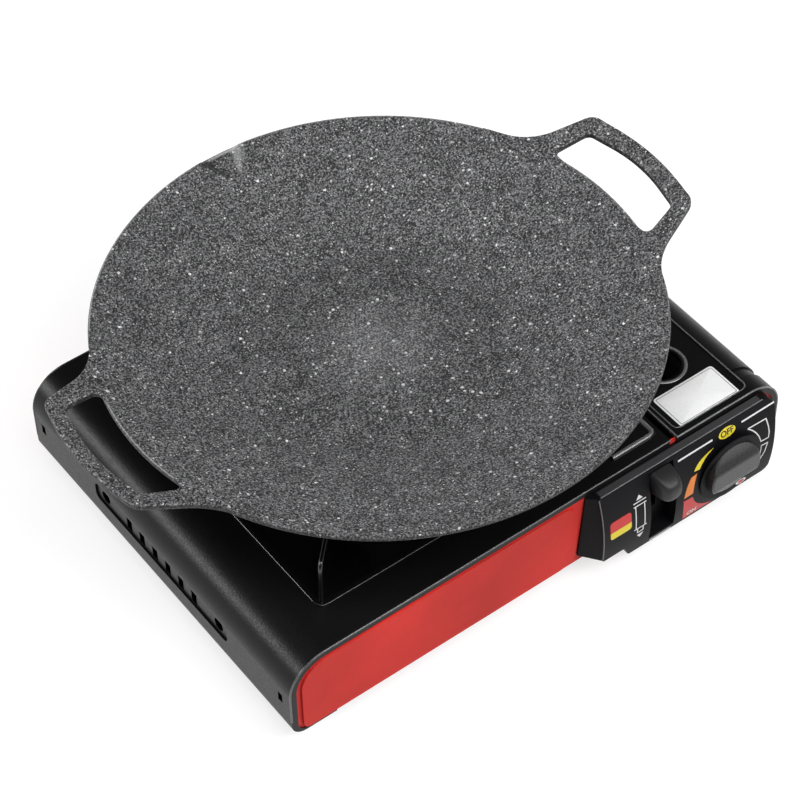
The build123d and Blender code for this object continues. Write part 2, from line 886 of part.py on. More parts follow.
# Moulded fascia: a bowed face inside the front outline, hollow either side of the lever's channel
with BuildPart() as control_fascia:
    with BuildSketch(side_plane(fascia_left - overrun)):
        fascia_section(0, fascia_low, panel_face)
    extrude(amount=fascia_right - fascia_left + 2 * overrun)
    with BuildSketch(front_plane(panel_face)):
        step_start = fascia_left + fascia_step_margin
        round_outline(
            [
                (fascia_left, fascia_left_low),
                (step_start, fascia_left_low),
                (step_start + fascia_step_run, fascia_low),
                (fascia_right - fascia_right_slant, fascia_low),
                (fascia_right, fascia_high),
                (fascia_left, fascia_high),
            ],
            [fascia_corner, fascia_corner, fascia_corner, fascia_low_corner, fascia_high_corner, fascia_corner],
        )
    extrude(amount=2 * fascia_mid_proud, mode=Mode.INTERSECT)
    fillet(control_fascia.faces().filter_by(GeomType.CYLINDER).sort_by(SortBy.AREA)[-1].edges(), fascia_edge)
    channel_left = lever_x - channel_width / 2
    channel_right = lever_x + channel_width / 2
    channel_low = fascia_low + channel_bottom_margin
    channel_high = fascia_high - channel_top_margin
    block(
        (channel_left, channel_right),
        (body_front - 2 * fascia_mid_proud, body_front - channel_floor),
        (channel_low, channel_high),
        mode=Mode.SUBTRACT,
    )
    with BuildSketch(side_plane(fascia_left + fascia_wall)):
        fascia_section(fascia_wall, fascia_left_low + fascia_wall, panel_face)
    extrude(amount=channel_left - fascia_left - 2 * fascia_wall, mode=Mode.SUBTRACT)
    with BuildSketch(side_plane(channel_right + fascia_wall)):
        fascia_section(fascia_wall, fascia_low + fascia_wall, panel_face)
    chamber_right = fascia_right - fascia_right_slant - fascia_low_corner
    extrude(amount=chamber_right - channel_right - fascia_wall, mode=Mode.SUBTRACT)
    block(
        (lid_left - moving_gap, fascia_right + overrun),
        (fascia_relief_y, panel_face + overrun),
        (body_top - flange_width - fascia_relief_drop, body_top),
        mode=Mode.SUBTRACT,
    )
    with BuildSketch(front_plane(panel_back)):
        with Locations((lever_x, lever_pivot_z + (lever_slot_above - lever_slot_below) / 2)):
            Rectangle(lever_slot_width, lever_slot_above + lever_slot_below)
        with Locations((knob_x, knob_z)):
            Circle(stem_hole_radius)
    extrude(amount=2 * fascia_mid_proud, mode=Mode.SUBTRACT)
finish(control_fascia, "control_fascia")

# Flame knob: a skirt and a grip with two scoops that leave a bar between them
with BuildPart() as control_knob:
    with BuildSketch(front_plane(knob_back)):
        with Locations((knob_x, knob_z)):
            Circle(skirt_radius)
    extrude(amount=skirt_depth)
    chamfer(control_knob.faces().sort_by(Axis.Y)[0].edges(), skirt_edge)
    with BuildSketch(front_plane(knob_back - skirt_depth)):
        with Locations((knob_x, knob_z)):
            Circle(grip_radius)
    extrude(amount=grip_depth)
    fillet(control_knob.faces().sort_by(Axis.Y)[0].edges(), grip_edge)
    with BuildSketch(side_plane(knob_x)):
        scoop_y = knob_back - skirt_depth - scoop_floor - scoop_radius
        face_y = knob_back - skirt_depth - grip_depth
        scoop_z = grip_half + sqrt(scoop_radius**2 - (scoop_y - face_y) ** 2)
        for side in (-1, 1):
            with Locations((scoop_y, knob_z + side * scoop_z)):
                Circle(scoop_radius)
    extrude(amount=grip_radius + overrun, both=True, mode=Mode.SUBTRACT)
    with BuildSketch(front_plane(knob_back)):
        with Locations((knob_x, knob_z)):
            Circle(stem_radius + shaft_play)
    extrude(amount=stem_in_knob, mode=Mode.SUBTRACT)
finish(control_knob, "control_knob")

with BuildPart() as valve_stem:
    with BuildSketch(front_plane(regulator_front + stem_in_valve)):
        with Locations((knob_x, knob_z)):
            Circle(stem_radius)
    extrude(amount=regulator_front + stem_in_valve - knob_back + stem_in_knob)
finish(valve_stem, "valve_stem")

# Lock lever: moulded button, steel arm, and the cross shaft with the finger that draws the clamp
with BuildPart() as lever_button:
    with BuildSketch(side_plane(lever_x)):
        nose_y = button_y - button_length
        round_outline(
            [
                (button_y, button_z - button_below),
                (button_y, button_z + button_above),
                (nose_y + button_nose, button_z + button_above),
                (nose_y, button_z),
                (nose_y + button_nose, button_z - button_below),
            ],
            [0, 0, button_nose, button_nose, button_nose],
        )
    extrude(amount=button_width / 2, both=True)
    fillet(lever_button.faces().filter_by(Axis.X).edges(), button_edge)
finish(lever_button, "lever_button")

with BuildPart() as lever_arm:
    with BuildSketch(side_plane(lever_x)):
        Polygon(
            (lever_pivot_y, lever_pivot_z - lever_arm_half),
            (button_y, button_z - lever_arm_half),
            (button_y, button_z + lever_arm_half),
            (lever_pivot_y, lever_pivot_z + lever_arm_half),
        )
        with Locations((lever_pivot_y, lever_pivot_z)):
            Circle(lever_hub_radius)
            Circle(lever_shaft_radius + shaft_play, mode=Mode.SUBTRACT)
    extrude(amount=lever_arm_thickness / 2, both=True)
finish(lever_arm, "lever_arm")

with BuildPart() as lever_shaft:
    with BuildSketch(side_plane(lever_x - lever_shaft_left_reach)):
        with Locations((lever_pivot_y, lever_pivot_z)):
            Circle(lever_shaft_radius)
    extrude(amount=lever_shaft_left_reach + lever_finger_reach + finger_width)
    with BuildSketch(side_plane(finger_x)):
        with Locations((lever_pivot_y, lever_pivot_z)):
            Rectangle(finger_thickness, finger_height, align=(Align.CENTER, Align.MIN))
    extrude(amount=finger_width)
finish(lever_shaft, "lever_shaft")

with BuildPart() as lever_brackets:
    with BuildSketch(level(lever_pivot_z)):
        for side in (-1, 1):
            inner = lever_x + side * lever_bracket_spread
            outer = inner + side * lever_bracket_sheet
            edge = outer + side * lever_bracket_flange
            Polygon(
                (inner, panel_back),
                (edge, panel_back),
                (edge, panel_back + lever_bracket_sheet),
                (outer, panel_back + lever_bracket_sheet),
                (outer, lever_pivot_y + lever_bracket_reach),
                (inner, lever_pivot_y + lever_bracket_reach),
            )
    extrude(amount=lever_bracket_half, both=True)
    with BuildSketch(side_plane(lever_x)):
        with Locations((lever_pivot_y, lever_pivot_z)):
            Circle(lever_shaft_radius + shaft_play)
    extrude(amount=lever_bracket_spread + lever_bracket_sheet + overrun, both=True, mode=Mode.SUBTRACT)
finish(lever_brackets, "lever_brackets")

# Regulator behind the front panel
with BuildPart() as regulator_bracket:
    block(
        (knob_x - bracket_left_margin, knob_x + bracket_right_margin),
        (panel_back, regulator_front),
        (knob_z - bracket_low_margin, knob_z + bracket_high_margin),
    )
    with BuildSketch(front_plane(regulator_front)):
        with Locations((knob_x, knob_z)):
            Circle(stem_hole_radius)
    extrude(amount=bracket_sheet, mode=Mode.SUBTRACT)
finish(regulator_bracket, "regulator_bracket")

with BuildPart() as regulator_body:
    with BuildSketch(front_plane(regulator_back)):
        with Locations((knob_x, knob_z)):
            Circle(regulator_radius)
    extrude(amount=regulator_length)
    with BuildSketch(front_plane(inlet_end)):
        with Locations((can_x, can_z)):
            Circle(inlet_radius)
    extrude(amount=inlet_length)
    with BuildSketch(level(knob_z)):
        with Locations((knob_x, cover_y)):
            Circle(cover_radius)
    extrude(amount=cover_z - knob_z)
    with BuildSketch(gas_plane(tube_far + jet_gap + jet_length)):
        Circle(outlet_radius)
    extrude(amount=-outlet_length)
    with BuildSketch(front_plane(inlet_end)):
        with Locations((can_x, can_z)):
            Circle(inlet_bore)
    extrude(amount=inlet_length, mode=Mode.SUBTRACT)
    with BuildSketch(front_plane(regulator_front + stem_in_valve + moving_gap)):
        with Locations((knob_x, knob_z)):
            Circle(stem_radius + shaft_play)
    extrude(amount=stem_in_valve + moving_gap, mode=Mode.SUBTRACT)
finish(regulator_body, "regulator_body")

with BuildPart() as regulator_cover:
    with BuildSketch(level(cover_z)):
        with Locations((knob_x, cover_y)):
            Circle(cover_radius)
    extrude(amount=cover_thickness)
    chamfer(regulator_cover.faces().sort_by(Axis.Z)[-1].edges(), cover_edge)
finish(regulator_cover, "regulator_cover")

with BuildPart() as cover_screws:
    with BuildSketch(level(cover_z + cover_thickness)):
        with Locations((knob_x, cover_y)):
            with PolarLocations(cover_screw_circle, cover_screw_count):
                Circle(cover_screw_radius)
    extrude(amount=cover_screw_height)
finish(cover_screws, "cover_screws")

with BuildPart() as inlet_seal:
    with BuildSketch(front_plane(inlet_end + seal_thickness)):
        with Locations((can_x, can_z)):
            Circle(seal_radius)
            Circle(inlet_bore, mode=Mode.SUBTRACT)
    extrude(amount=seal_thickness)
finish(inlet_seal, "inlet_seal")

# Clamp plate that pulls the cartridge onto the seal, on two rods
with BuildPart() as cartridge_clamp:
    with BuildSketch(front_plane(clamp_back)):
        with Locations((can_x, can_z)):
            with Locations((0, (clamp_above - clamp_below) / 2)):
                RectangleRounded(2 * clamp_half, clamp_above + clamp_below, clamp_corner)
        clamp_top = can_z + clamp_above
        tab_left = finger_x - clamp_tab_overlap
        tab_width = can_x - clamp_half + clamp_corner - tab_left
        with Locations((tab_left, clamp_top)):
            Rectangle(tab_width, clamp_tab_height, align=(Align.MIN, Align.MAX))
        with Locations((can_x, can_z)):
            Circle(can_neck_radius, mode=Mode.SUBTRACT)
            Rectangle(
                2 * can_neck_radius,
                clamp_above + overrun,
                align=(Align.CENTER, Align.MIN),
                mode=Mode.SUBTRACT,
            )
        for side in (-1, 1):
            with Locations((can_x + side * rod_half, rod_z)):
                Circle(rod_radius + shaft_play, mode=Mode.SUBTRACT)
    extrude(amount=clamp_sheet)
finish(cartridge_clamp, "cartridge_clamp")

with BuildPart() as clamp_rods:
    with BuildSketch(front_plane(rod_back)):
        for side in (-1, 1):
            with Locations((can_x + side * rod_half, rod_z)):
                Circle(rod_radius)
    extrude(amount=rod_back - regulator_front)
finish(clamp_rods, "clamp_rods")

# Jet and mixing tube
with BuildPart(gas_plane(tube_far + jet_gap + jet_length)) as jet_nozzle:
    Cylinder(jet_radius, jet_length - jet_tip_length, align=upward)
    with Locations((0, 0, jet_length - jet_tip_length)):
        Cone(jet_radius, jet_tip_radius, jet_tip_length, align=upward)
    Cylinder(jet_bore, jet_length, align=upward, mode=Mode.SUBTRACT)
finish(jet_nozzle, "jet_nozzle")

with BuildPart(gas_plane(tube_far)) as mixing_tube:
    tube_length = tube_far - inlet_boss_reach + tube_seat
    Cone(mouth_radius, tube_radius, mouth_length, align=upward)
    Cylinder(tube_radius, tube_length, align=upward)
    Cone(mouth_radius - tube_wall, tube_radius - tube_wall, mouth_length, align=upward, mode=Mode.SUBTRACT)
    Cylinder(tube_radius - tube_wall, tube_length, align=upward, mode=Mode.SUBTRACT)
finish(mixing_tube, "mixing_tube")

# Burner on its bracket
burner_plane = upright_plane(burner_x, 0)
burner_axis = Axis((burner_x, 0, 0), (0, 0, 1))
with BuildPart() as burner_bowl:
    with BuildSketch(burner_plane):
        Polygon(
            (0, bowl_bottom),
            (bowl_neck_radius, bowl_bottom),
            (bowl_neck_radius, body_top - bowl_neck_drop),
            (bowl_radius, body_top - bowl_flare_drop),
            (bowl_radius, bowl_top),
            (0, bowl_top),
        )
    revolve(axis=burner_axis)
    with BuildSketch(gas_plane(inlet_boss_reach)):
        Circle(inlet_boss_radius)
    extrude(amount=inlet_boss_reach)
    with BuildSketch(burner_plane):
        Polygon(
            (0, bowl_bottom + bowl_floor),
            (bowl_neck_radius - bowl_wall, bowl_bottom + bowl_floor),
            (bowl_neck_radius - bowl_wall, body_top - bowl_neck_drop + bowl_wall / 2),
            (bowl_radius - bowl_wall, body_top - bowl_flare_drop + bowl_wall / 2),
            (bowl_radius - bowl_wall, bowl_top),
            (0, bowl_top),
        )
    revolve(axis=burner_axis, mode=Mode.SUBTRACT)
    with BuildSketch(gas_plane(inlet_boss_reach)):
        Circle(tube_radius + tube_play)
    extrude(amount=inlet_boss_reach - bowl_neck_radius + bowl_wall, mode=Mode.SUBTRACT)
finish(burner_bowl, "burner_bowl")

with BuildPart() as burner_head:
    with BuildSketch(burner_plane):
        ring_inner = head_radius - head_wall
        spigot_radius = bowl_radius - bowl_wall - head_spigot_play
        Polygon(
            (ring_inner, bowl_top - head_spigot),
            (spigot_radius, bowl_top - head_spigot),
            (spigot_radius, bowl_top),
            (head_radius, bowl_top),
            (head_radius, head_top - head_bevel),
            (head_radius - head_bevel, head_top),
            (head_dish_radius, head_top),
            (head_dish_radius - head_dish, head_top - head_dish),
            (0, head_top - head_dish),
            (0, head_top - head_roof),
            (ring_inner, head_top - head_roof),
        )
    revolve(axis=burner_axis)
    with Locations((burner_x, 0, bowl_top + port_lift + port_height / 2)):
        with PolarLocations(head_radius - head_wall / 2, port_count):
            Box(2 * head_wall, port_width, port_height, mode=Mode.SUBTRACT)
finish(burner_head, "burner_head")

with BuildPart() as burner_bracket:
    with BuildSketch(level(base_top)):
        with Locations((burner_x, 0)):
            RectangleRounded(2 * plate_half, plate_width, plate_corner)
        for side in (-1, 1):
            with Locations((burner_x + side * plate_screw_reach, 0)):
                Circle(screw_radius + screw_play, mode=Mode.SUBTRACT)
    extrude(amount=plate_sheet)
finish(burner_bracket, "burner_bracket")

with BuildPart() as bracket_screws:
    for side in (-1, 1):
        with Locations((burner_x + side * plate_screw_reach, 0, bowl_bottom)):
            Cylinder(screw_head_radius, screw_head_height, align=upward)
            Cylinder(screw_radius, 2 * foot_screw_tail, align=(Align.CENTER, Align.CENTER, Align.MAX))
finish(bracket_screws, "bracket_screws")

# Spark electrode beside the burner, with its clip, insulator, piezo unit and lead
with BuildPart() as electrode_clip:
    with BuildSketch(level(body_top - clip_drop)):
        with Locations(Location((burner_x, 0), electrode_angle)):
            Rectangle(electrode_reach + clip_end, clip_width, align=(Align.MIN, Align.CENTER))
        with Locations((burner_x, 0)):
            Circle(bowl_radius, mode=Mode.SUBTRACT)
        with Locations((electrode_x, electrode_y)):
            Circle(insulator_radius, mode=Mode.SUBTRACT)
    extrude(amount=clip_sheet)
finish(electrode_clip, "electrode_clip")

with BuildPart() as igniter_insulator:
    with BuildSketch(level(insulator_low)):
        with Locations((electrode_x, electrode_y)):
            Circle(insulator_radius)
            Circle(electrode_radius, mode=Mode.SUBTRACT)
    extrude(amount=insulator_high - insulator_low)
finish(igniter_insulator, "igniter_insulator")

with BuildPart() as electrode:
    with BuildSketch(level(insulator_low)):
        with Locations((electrode_x, electrode_y)):
            Circle(electrode_radius)
    extrude(amount=insulator_high + electrode_tip - insulator_low)
finish(electrode, "electrode")

with BuildPart() as piezo_igniter:
    with BuildSketch(front_plane(regulator_front + piezo_length)):
        with Locations((piezo_x, piezo_z)):
            Circle(piezo_radius)
    extrude(amount=piezo_length)
    with BuildSketch(front_plane(piezo_end)):
        with Locations((piezo_x, piezo_z)):
            Circle(piezo_cap_radius)
    extrude(amount=piezo_cap)
finish(piezo_igniter, "piezo_igniter")

with BuildPart() as ignition_lead:
    lead_from = Vector(piezo_x, piezo_end + lead_start, piezo_z)
    lead_to = Vector(electrode_x, electrode_y, insulator_low - lead_rise)
    lead_route = [Vector(piezo_x, piezo_end, piezo_z), lead_from]
    for share, sway, sag in zip(lead_shares, lead_sways, lead_sags):
        lead_route.append(lead_from + (lead_to - lead_from) * share - Vector(0, sway, sag))
    lead_route += [lead_to, Vector(electrode_x, electrode_y, insulator_low)]
    with BuildLine() as lead_path:
        FilletPolyline(*lead_route, radius=bend_radii(lead_route))
    with BuildSketch(Plane(origin=lead_path.line @ 0, z_dir=lead_path.line % 0)):
        Circle(lead_radius)
    sweep(path=lead_path.line)
finish(ignition_lead, "ignition_lead")

# Pan support: a square tray with a fin across each corner
with BuildPart() as pan_support:
    with BuildSketch(level(body_top)):
        with Locations((burner_x, 0)):
            RectangleRounded(2 * support_half, 2 * support_half, support_corner)
    extrude(amount=support_sheet)
    rim_inner = 2 * (support_half - support_rim)
    floor_width = 2 * support_floor_half
    with BuildSketch(level(body_top)):
        with Locations((burner_x, 0)):
            RectangleRounded(rim_inner, rim_inner, support_corner)
    with BuildSketch(level(body_top - support_drop)):
        with Locations((burner_x, 0)):
            RectangleRounded(floor_width, floor_width, support_corner)
    loft()
    with BuildSketch(level(support_top)):
        with Locations((burner_x, 0)):
            RectangleRounded(rim_inner, rim_inner, support_corner)
    with BuildSketch(level(support_top - support_drop)):
        with Locations((burner_x, 0)):
            RectangleRounded(floor_width, floor_width, support_corner)
    loft(mode=Mode.SUBTRACT)
    with BuildSketch(level(support_top - support_drop)):
        with Locations((burner_x, 0)):
            Circle(support_hole_radius)
    extrude(amount=-2 * support_sheet, mode=Mode.SUBTRACT)
    # Fins on the diagonals, each seated in the slope of the tray
    seat_high = body_top + support_sheet / 2
    seat_low = seat_high - support_drop
    fin_outer = sqrt(2) * (support_half - support_rim)
    fin_slope = sqrt(2) * support_floor_half
    fin_inner = head_radius + fin_head_gap
    for angle in (45, 135, 225, 315):
        lean = Vector(cos(radians(angle)), sin(radians(angle)), 0)
        across = Vector(sin(radians(angle)), -cos(radians(angle)), 0)
        with BuildSketch(Plane(origin=(burner_x, 0, 0), x_dir=lean, z_dir=across)):
            Polygon(
                (fin_outer, seat_high),
                (fin_outer - fin_outer_lean, fin_top - fin_chamfer),
                (fin_outer - fin_outer_lean - fin_chamfer, fin_top),
                (fin_inner + fin_nose_run, fin_top),
                (fin_inner, fin_top - fin_nose_drop),
                (fin_inner, fin_top - fin_nose_drop - fin_nose_depth),
                (fin_slope - fin_foot_inset, seat_low),
                (fin_slope, seat_low),
            )
        extrude(amount=fin_thickness / 2, both=True)
finish(pan_support, "pan_support")

# Griddle plate: two loop handles, the dish between them and its pouring spout
griddle_axis = Axis((griddle_x, griddle_y, 0), (0, 0, 1))
griddle_plane = upright_plane(griddle_x, griddle_y)
with BuildPart() as griddle_plate:
    for side in (-1, 1):
        outward = Vector(side * cos(radians(handle_tilt)), 0, sin(radians(handle_tilt)))
        normal = Vector(-side * sin(radians(handle_tilt)), 0, cos(radians(handle_tilt)))
        root = Vector(griddle_x + side * griddle_radius, griddle_y, griddle_top)
        handle_plane = Plane(origin=root - normal * handle_thickness, x_dir=outward, z_dir=normal)
        with BuildSketch(handle_plane):
            plan_outline = handle_outline(
                handle_half,
                handle_root_half,
                handle_corner_reach,
                handle_reach,
                handle_corner,
                handle_waist,
            )
            slot_outline = handle_outline(
                handle_half - handle_arm,
                handle_root_slot_half,
                handle_corner_reach - handle_bar,
                handle_reach - handle_bar,
                handle_slot_corner,
                handle_slot_waist,
            )
            add(plan_outline)
            add(slot_outline, mode=Mode.SUBTRACT)
        extrude(amount=handle_thickness)
        faces = griddle_plate.faces().filter_by(Axis((0, 0, 0), normal))
        fillet(faces.edges().group_by(SortBy.LENGTH)[-1], handle_edge)
    with BuildSketch(griddle_plane):
        round_outline(
            [
                (0, fin_top),
                (griddle_base_radius, fin_top),
                (griddle_radius, griddle_top - griddle_lip),
                (griddle_radius, griddle_top),
                (0, griddle_top),
            ],
            [0, griddle_bend, 0, 0, 0],
        )
    revolve(axis=griddle_axis)
    with BuildSketch(griddle_plane):
        floor_z = fin_top + griddle_floor
        round_outline(
            [
                (0, floor_z),
                (griddle_base_radius, floor_z),
                (griddle_radius - griddle_wall, griddle_top),
                (griddle_radius - griddle_wall, griddle_top + overrun),
                (0, griddle_top + overrun),
            ],
            [0, griddle_bend, 0, 0, 0],
        )
    revolve(axis=griddle_axis, mode=Mode.SUBTRACT)
    with BuildSketch(front_plane(griddle_y + griddle_radius + overrun)):
        with Locations((griddle_x + spout_x, griddle_top - spout_depth + spout_radius)):
            Circle(spout_radius)
    extrude(amount=spout_length, mode=Mode.SUBTRACT)
finish(griddle_plate, "griddle_plate")
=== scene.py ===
import json
import logging
from abc import ABC, abstractmethod
from collections.abc import Sequence
from dataclasses import dataclass
from enum import Enum

import bmesh
import bpy
import numpy as np
from mathutils import Matrix, Vector


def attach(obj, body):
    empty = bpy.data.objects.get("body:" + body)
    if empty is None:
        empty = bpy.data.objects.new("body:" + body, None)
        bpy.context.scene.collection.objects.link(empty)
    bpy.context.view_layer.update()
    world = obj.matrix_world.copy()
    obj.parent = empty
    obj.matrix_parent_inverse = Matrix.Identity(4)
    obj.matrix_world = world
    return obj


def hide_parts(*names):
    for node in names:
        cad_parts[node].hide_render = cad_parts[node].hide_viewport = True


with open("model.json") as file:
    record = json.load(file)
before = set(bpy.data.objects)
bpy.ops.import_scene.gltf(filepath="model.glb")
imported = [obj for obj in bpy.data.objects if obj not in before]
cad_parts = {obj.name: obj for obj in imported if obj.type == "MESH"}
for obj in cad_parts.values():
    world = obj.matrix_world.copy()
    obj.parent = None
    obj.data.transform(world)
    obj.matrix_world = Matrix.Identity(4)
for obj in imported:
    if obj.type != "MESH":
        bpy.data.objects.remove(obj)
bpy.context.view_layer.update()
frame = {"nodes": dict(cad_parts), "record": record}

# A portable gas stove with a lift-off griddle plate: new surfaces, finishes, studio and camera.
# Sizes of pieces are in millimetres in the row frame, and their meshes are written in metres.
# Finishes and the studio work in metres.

LOG = logging.getLogger("stove")
MM = 0.001
MERGE_REACH = 2e-6
SHORTEST_EDGE = 1e-7
MOST_OF_NOISE = (0.3, 0.7)
MIDDLE_OF_NOISE = (0.35, 0.65)
MADE: dict[str, bpy.types.Material] = {}

Array = np.ndarray
Pair = tuple[float, float]
Triple = tuple[float, float, float]
Limits = tuple[float, float, float, float]
Span = tuple[float, float, float, float]
Socket = bpy.types.NodeSocket


class Grain(Enum):
    """Direction in which a metal surface is brushed or drawn."""

    NONE = (1.0, 1.0, 1.0)
    ALONG_X = (0.05, 1.0, 1.0)
    ALONG_Y = (1.0, 0.05, 1.0)


def shade(color: Triple, share: float) -> Triple:
    """A colour deepened or lightened by a share, and held to 1."""
    return tuple(min(1.0, share * c) for c in color)


class NodeSheet:
    """A material's node tree with short calls for the nodes that the finishes share."""

    def __init__(self, name: str) -> None:
        """Starts an empty material that has only its output and its main shader.

        Args:
            name: Name of the material.
        """
        self.material = bpy.data.materials.new(name)
        self.material.use_nodes = True
        self.tree = self.material.node_tree
        self.tree.nodes.clear()
        self.output = self.tree.nodes.new("ShaderNodeOutputMaterial")
        self.shader = self.tree.nodes.new("ShaderNodeBsdfPrincipled")
        self.join(self.shader.outputs[0], self.output.inputs["Surface"])
        self.place = self.tree.nodes.new("ShaderNodeTexCoord").outputs["Object"]

    def join(self, source: Socket, target: Socket) -> None:
        """Links one socket to another."""
        self.tree.links.new(source, target)

    def feed(self, key: str, source: Socket) -> None:
        """Links a socket to the main shader's input of this name."""
        self.join(source, self.shader.inputs[key])

    def set(self, **values: float | Triple) -> None:
        """Sets the main shader's sockets.

        Args:
            values: Numbers or colours by the sockets' names, with underscores for spaces.
        """
        for key, value in values.items():
            socket = self.shader.inputs[key.replace("_", " ")]
            socket.default_value = (*value, 1.0) if isinstance(value, tuple) else value

    def mapped(self, shares: Triple, shift: Triple = (0.0, 0.0, 0.0)) -> Socket:
        """Object coordinates scaled by a share on each axis and then shifted.

        Args:
            shares: Share on each axis; a small one draws a pattern out along it.
            shift: Distance to shift by, in metres.

        Returns:
            The new coordinates.
        """
        node = self.tree.nodes.new("ShaderNodeMapping")
        node.inputs["Scale"].default_value = shares
        node.inputs["Location"].default_value = shift
        self.join(self.place, node.inputs["Vector"])
        return node.outputs[0]

    def noise(self, per_metre: float, detail: float = 2.0, rough: float = 0.5,
              where: Socket | None = None) -> Socket:
        """Noise with this many features to the metre.

        Args:
            per_metre: How many features fit in a metre.
            detail: Octaves of finer noise.
            rough: Share of each octave kept in the next.
            where: Coordinates, or None for the plain object coordinates.

        Returns:
            The noise's value socket.
        """
        node = self.tree.nodes.new("ShaderNodeTexNoise")
        node.inputs["Scale"].default_value = per_metre
        node.inputs["Detail"].default_value = detail
        node.inputs["Roughness"].default_value = rough
        self.join(where or self.place, node.inputs["Vector"])
        return node.outputs["Fac"]

    def shaken(self, per_metre: float, reach: float) -> Socket:
        """Object coordinates pushed about by noise, which roughens a pattern.

        Args:
            per_metre: Features of the noise to the metre.
            reach: Farthest push in metres.

        Returns:
            The new coordinates.
        """
        noise = self.tree.nodes.new("ShaderNodeTexNoise")
        noise.inputs["Scale"].default_value = per_metre
        self.join(self.place, noise.inputs["Vector"])
        push = self.tree.nodes.new("ShaderNodeVectorMath")
        push.operation = "MULTIPLY_ADD"
        self.join(noise.outputs["Color"], push.inputs[0])
        push.inputs[1].default_value = (reach, reach, reach)
        self.join(self.place, push.inputs[2])
        return push.outputs["Vector"]

    def cells(self, per_metre: float, where: Socket) -> tuple[Socket, Socket]:
        """Points scattered through space.

        Args:
            per_metre: Points to the metre.
            where: Coordinates.

        Returns:
            Distance to the nearest point, and a random colour for each point.
        """
        node = self.tree.nodes.new("ShaderNodeTexVoronoi")
        node.inputs["Scale"].default_value = per_metre
        self.join(where, node.inputs["Vector"])
        return node.outputs["Distance"], node.outputs["Color"]

    def split(self, vector: Socket) -> list[Socket]:
        """The x, y and z of a vector.

        Args:
            vector: Socket to split.

        Returns:
            Its three values.
        """
        node = self.tree.nodes.new("ShaderNodeSeparateXYZ")
        self.join(vector, node.inputs[0])
        return list(node.outputs)

    def facing(self) -> list[Socket]:
        """The surface's own normal, as x, y and z."""
        return self.split(self.place.node.outputs["Normal"])

    def span(self, value: Socket, low: float, high: float,
             to_low: float = 0.0, to_high: float = 1.0) -> Socket:
        """Maps low to high onto to_low to to_high, clamped at both ends.

        Args:
            value: Socket to map.
            low: Value that becomes to_low.
            high: Value that becomes to_high.
            to_low: First end of the result.
            to_high: Other end of the result.

        Returns:
            The mapped value.
        """
        node = self.tree.nodes.new("ShaderNodeMapRange")
        numbers = (low, high, to_low, to_high)
        for key, number in zip(("From Min", "From Max", "To Min", "To Max"), numbers):
            node.inputs[key].default_value = number
        self.join(value, node.inputs["Value"])
        return node.outputs["Result"]

    def math(self, operation: str, first: Socket, second: Socket | float) -> Socket:
        """Joins two values by one operation.

        Args:
            operation: Name of the operation, such as ADD or LESS_THAN.
            first: First value.
            second: Second value.

        Returns:
            The result.
        """
        node = self.tree.nodes.new("ShaderNodeMath")
        node.operation = operation
        self.join(first, node.inputs[0])
        if isinstance(second, (int, float)):
            node.inputs[1].default_value = second
        else:
            self.join(second, node.inputs[1])
        return node.outputs[0]

    def times(self, first: Socket, second: Socket | float) -> Socket:
        """The product of two values."""
        return self.math("MULTIPLY", first, second)

    def band(self, value: Socket, limits: Limits) -> Socket:
        """1 where a value lies in a band with soft ends, and 0 elsewhere.

        Args:
            value: Socket to test.
            limits: Where the band starts, is full, fades and ends.

        Returns:
            The share from 0 to 1.
        """
        start, full, fade, end = limits
        return self.times(self.span(value, start, full), self.span(value, end, fade))

    def blend(self, share: Socket, first: Triple | Socket, second: Triple | Socket) -> Socket:
        """Mixes two colours.

        Args:
            share: Share of the second colour, from 0 to 1.
            first: First colour or colour socket.
            second: Second colour or colour socket.

        Returns:
            The mixed colour.
        """
        node = self.tree.nodes.new("ShaderNodeMix")
        node.data_type = "RGBA"
        self.join(share, node.inputs[0])
        for socket, value in ((node.inputs[6], first), (node.inputs[7], second)):
            if isinstance(value, tuple):
                socket.default_value = (*value, 1.0)
            else:
                self.join(value, socket)
        return node.outputs[2]

    def clouded(self, noise: Socket, color: Triple, share: float, limits: Pair = MOST_OF_NOISE) -> None:
        """Gives the main shader a colour that noise draws down to a share of itself."""
        self.feed("Base Color", self.blend(self.span(noise, *limits), shade(color, share), color))

    def gloss(self, noise: Socket, roughness: float, drift: Pair) -> None:
        """Gives the main shader a roughness that noise moves by a drift down and up."""
        self.feed("Roughness", self.span(noise, *MOST_OF_NOISE, roughness + drift[0], roughness + drift[1]))

    def relief(self, height: Socket, depth: float, share: float) -> None:
        """Lets a height raise the surface.

        Args:
            height: Height from 0 to 1.
            depth: What a height of 1 stands for, in metres.
            share: Share of the full strength.
        """
        node = self.tree.nodes.new("ShaderNodeBump")
        node.inputs["Strength"].default_value = share
        node.inputs["Distance"].default_value = depth
        self.join(height, node.inputs["Height"])
        self.feed("Normal", node.outputs[0])


class Finish(ABC):
    """A surface finish that builds its own material once and hands it out after that."""

    name: str

    def material(self) -> bpy.types.Material:
        """The finish's material, built on the first call.

        Returns:
            The material.
        """
        if self.name not in MADE:
            MADE[self.name] = self.build()
        return MADE[self.name]

    @abstractmethod
    def build(self) -> bpy.types.Material:
        """Builds the node tree and returns its material."""


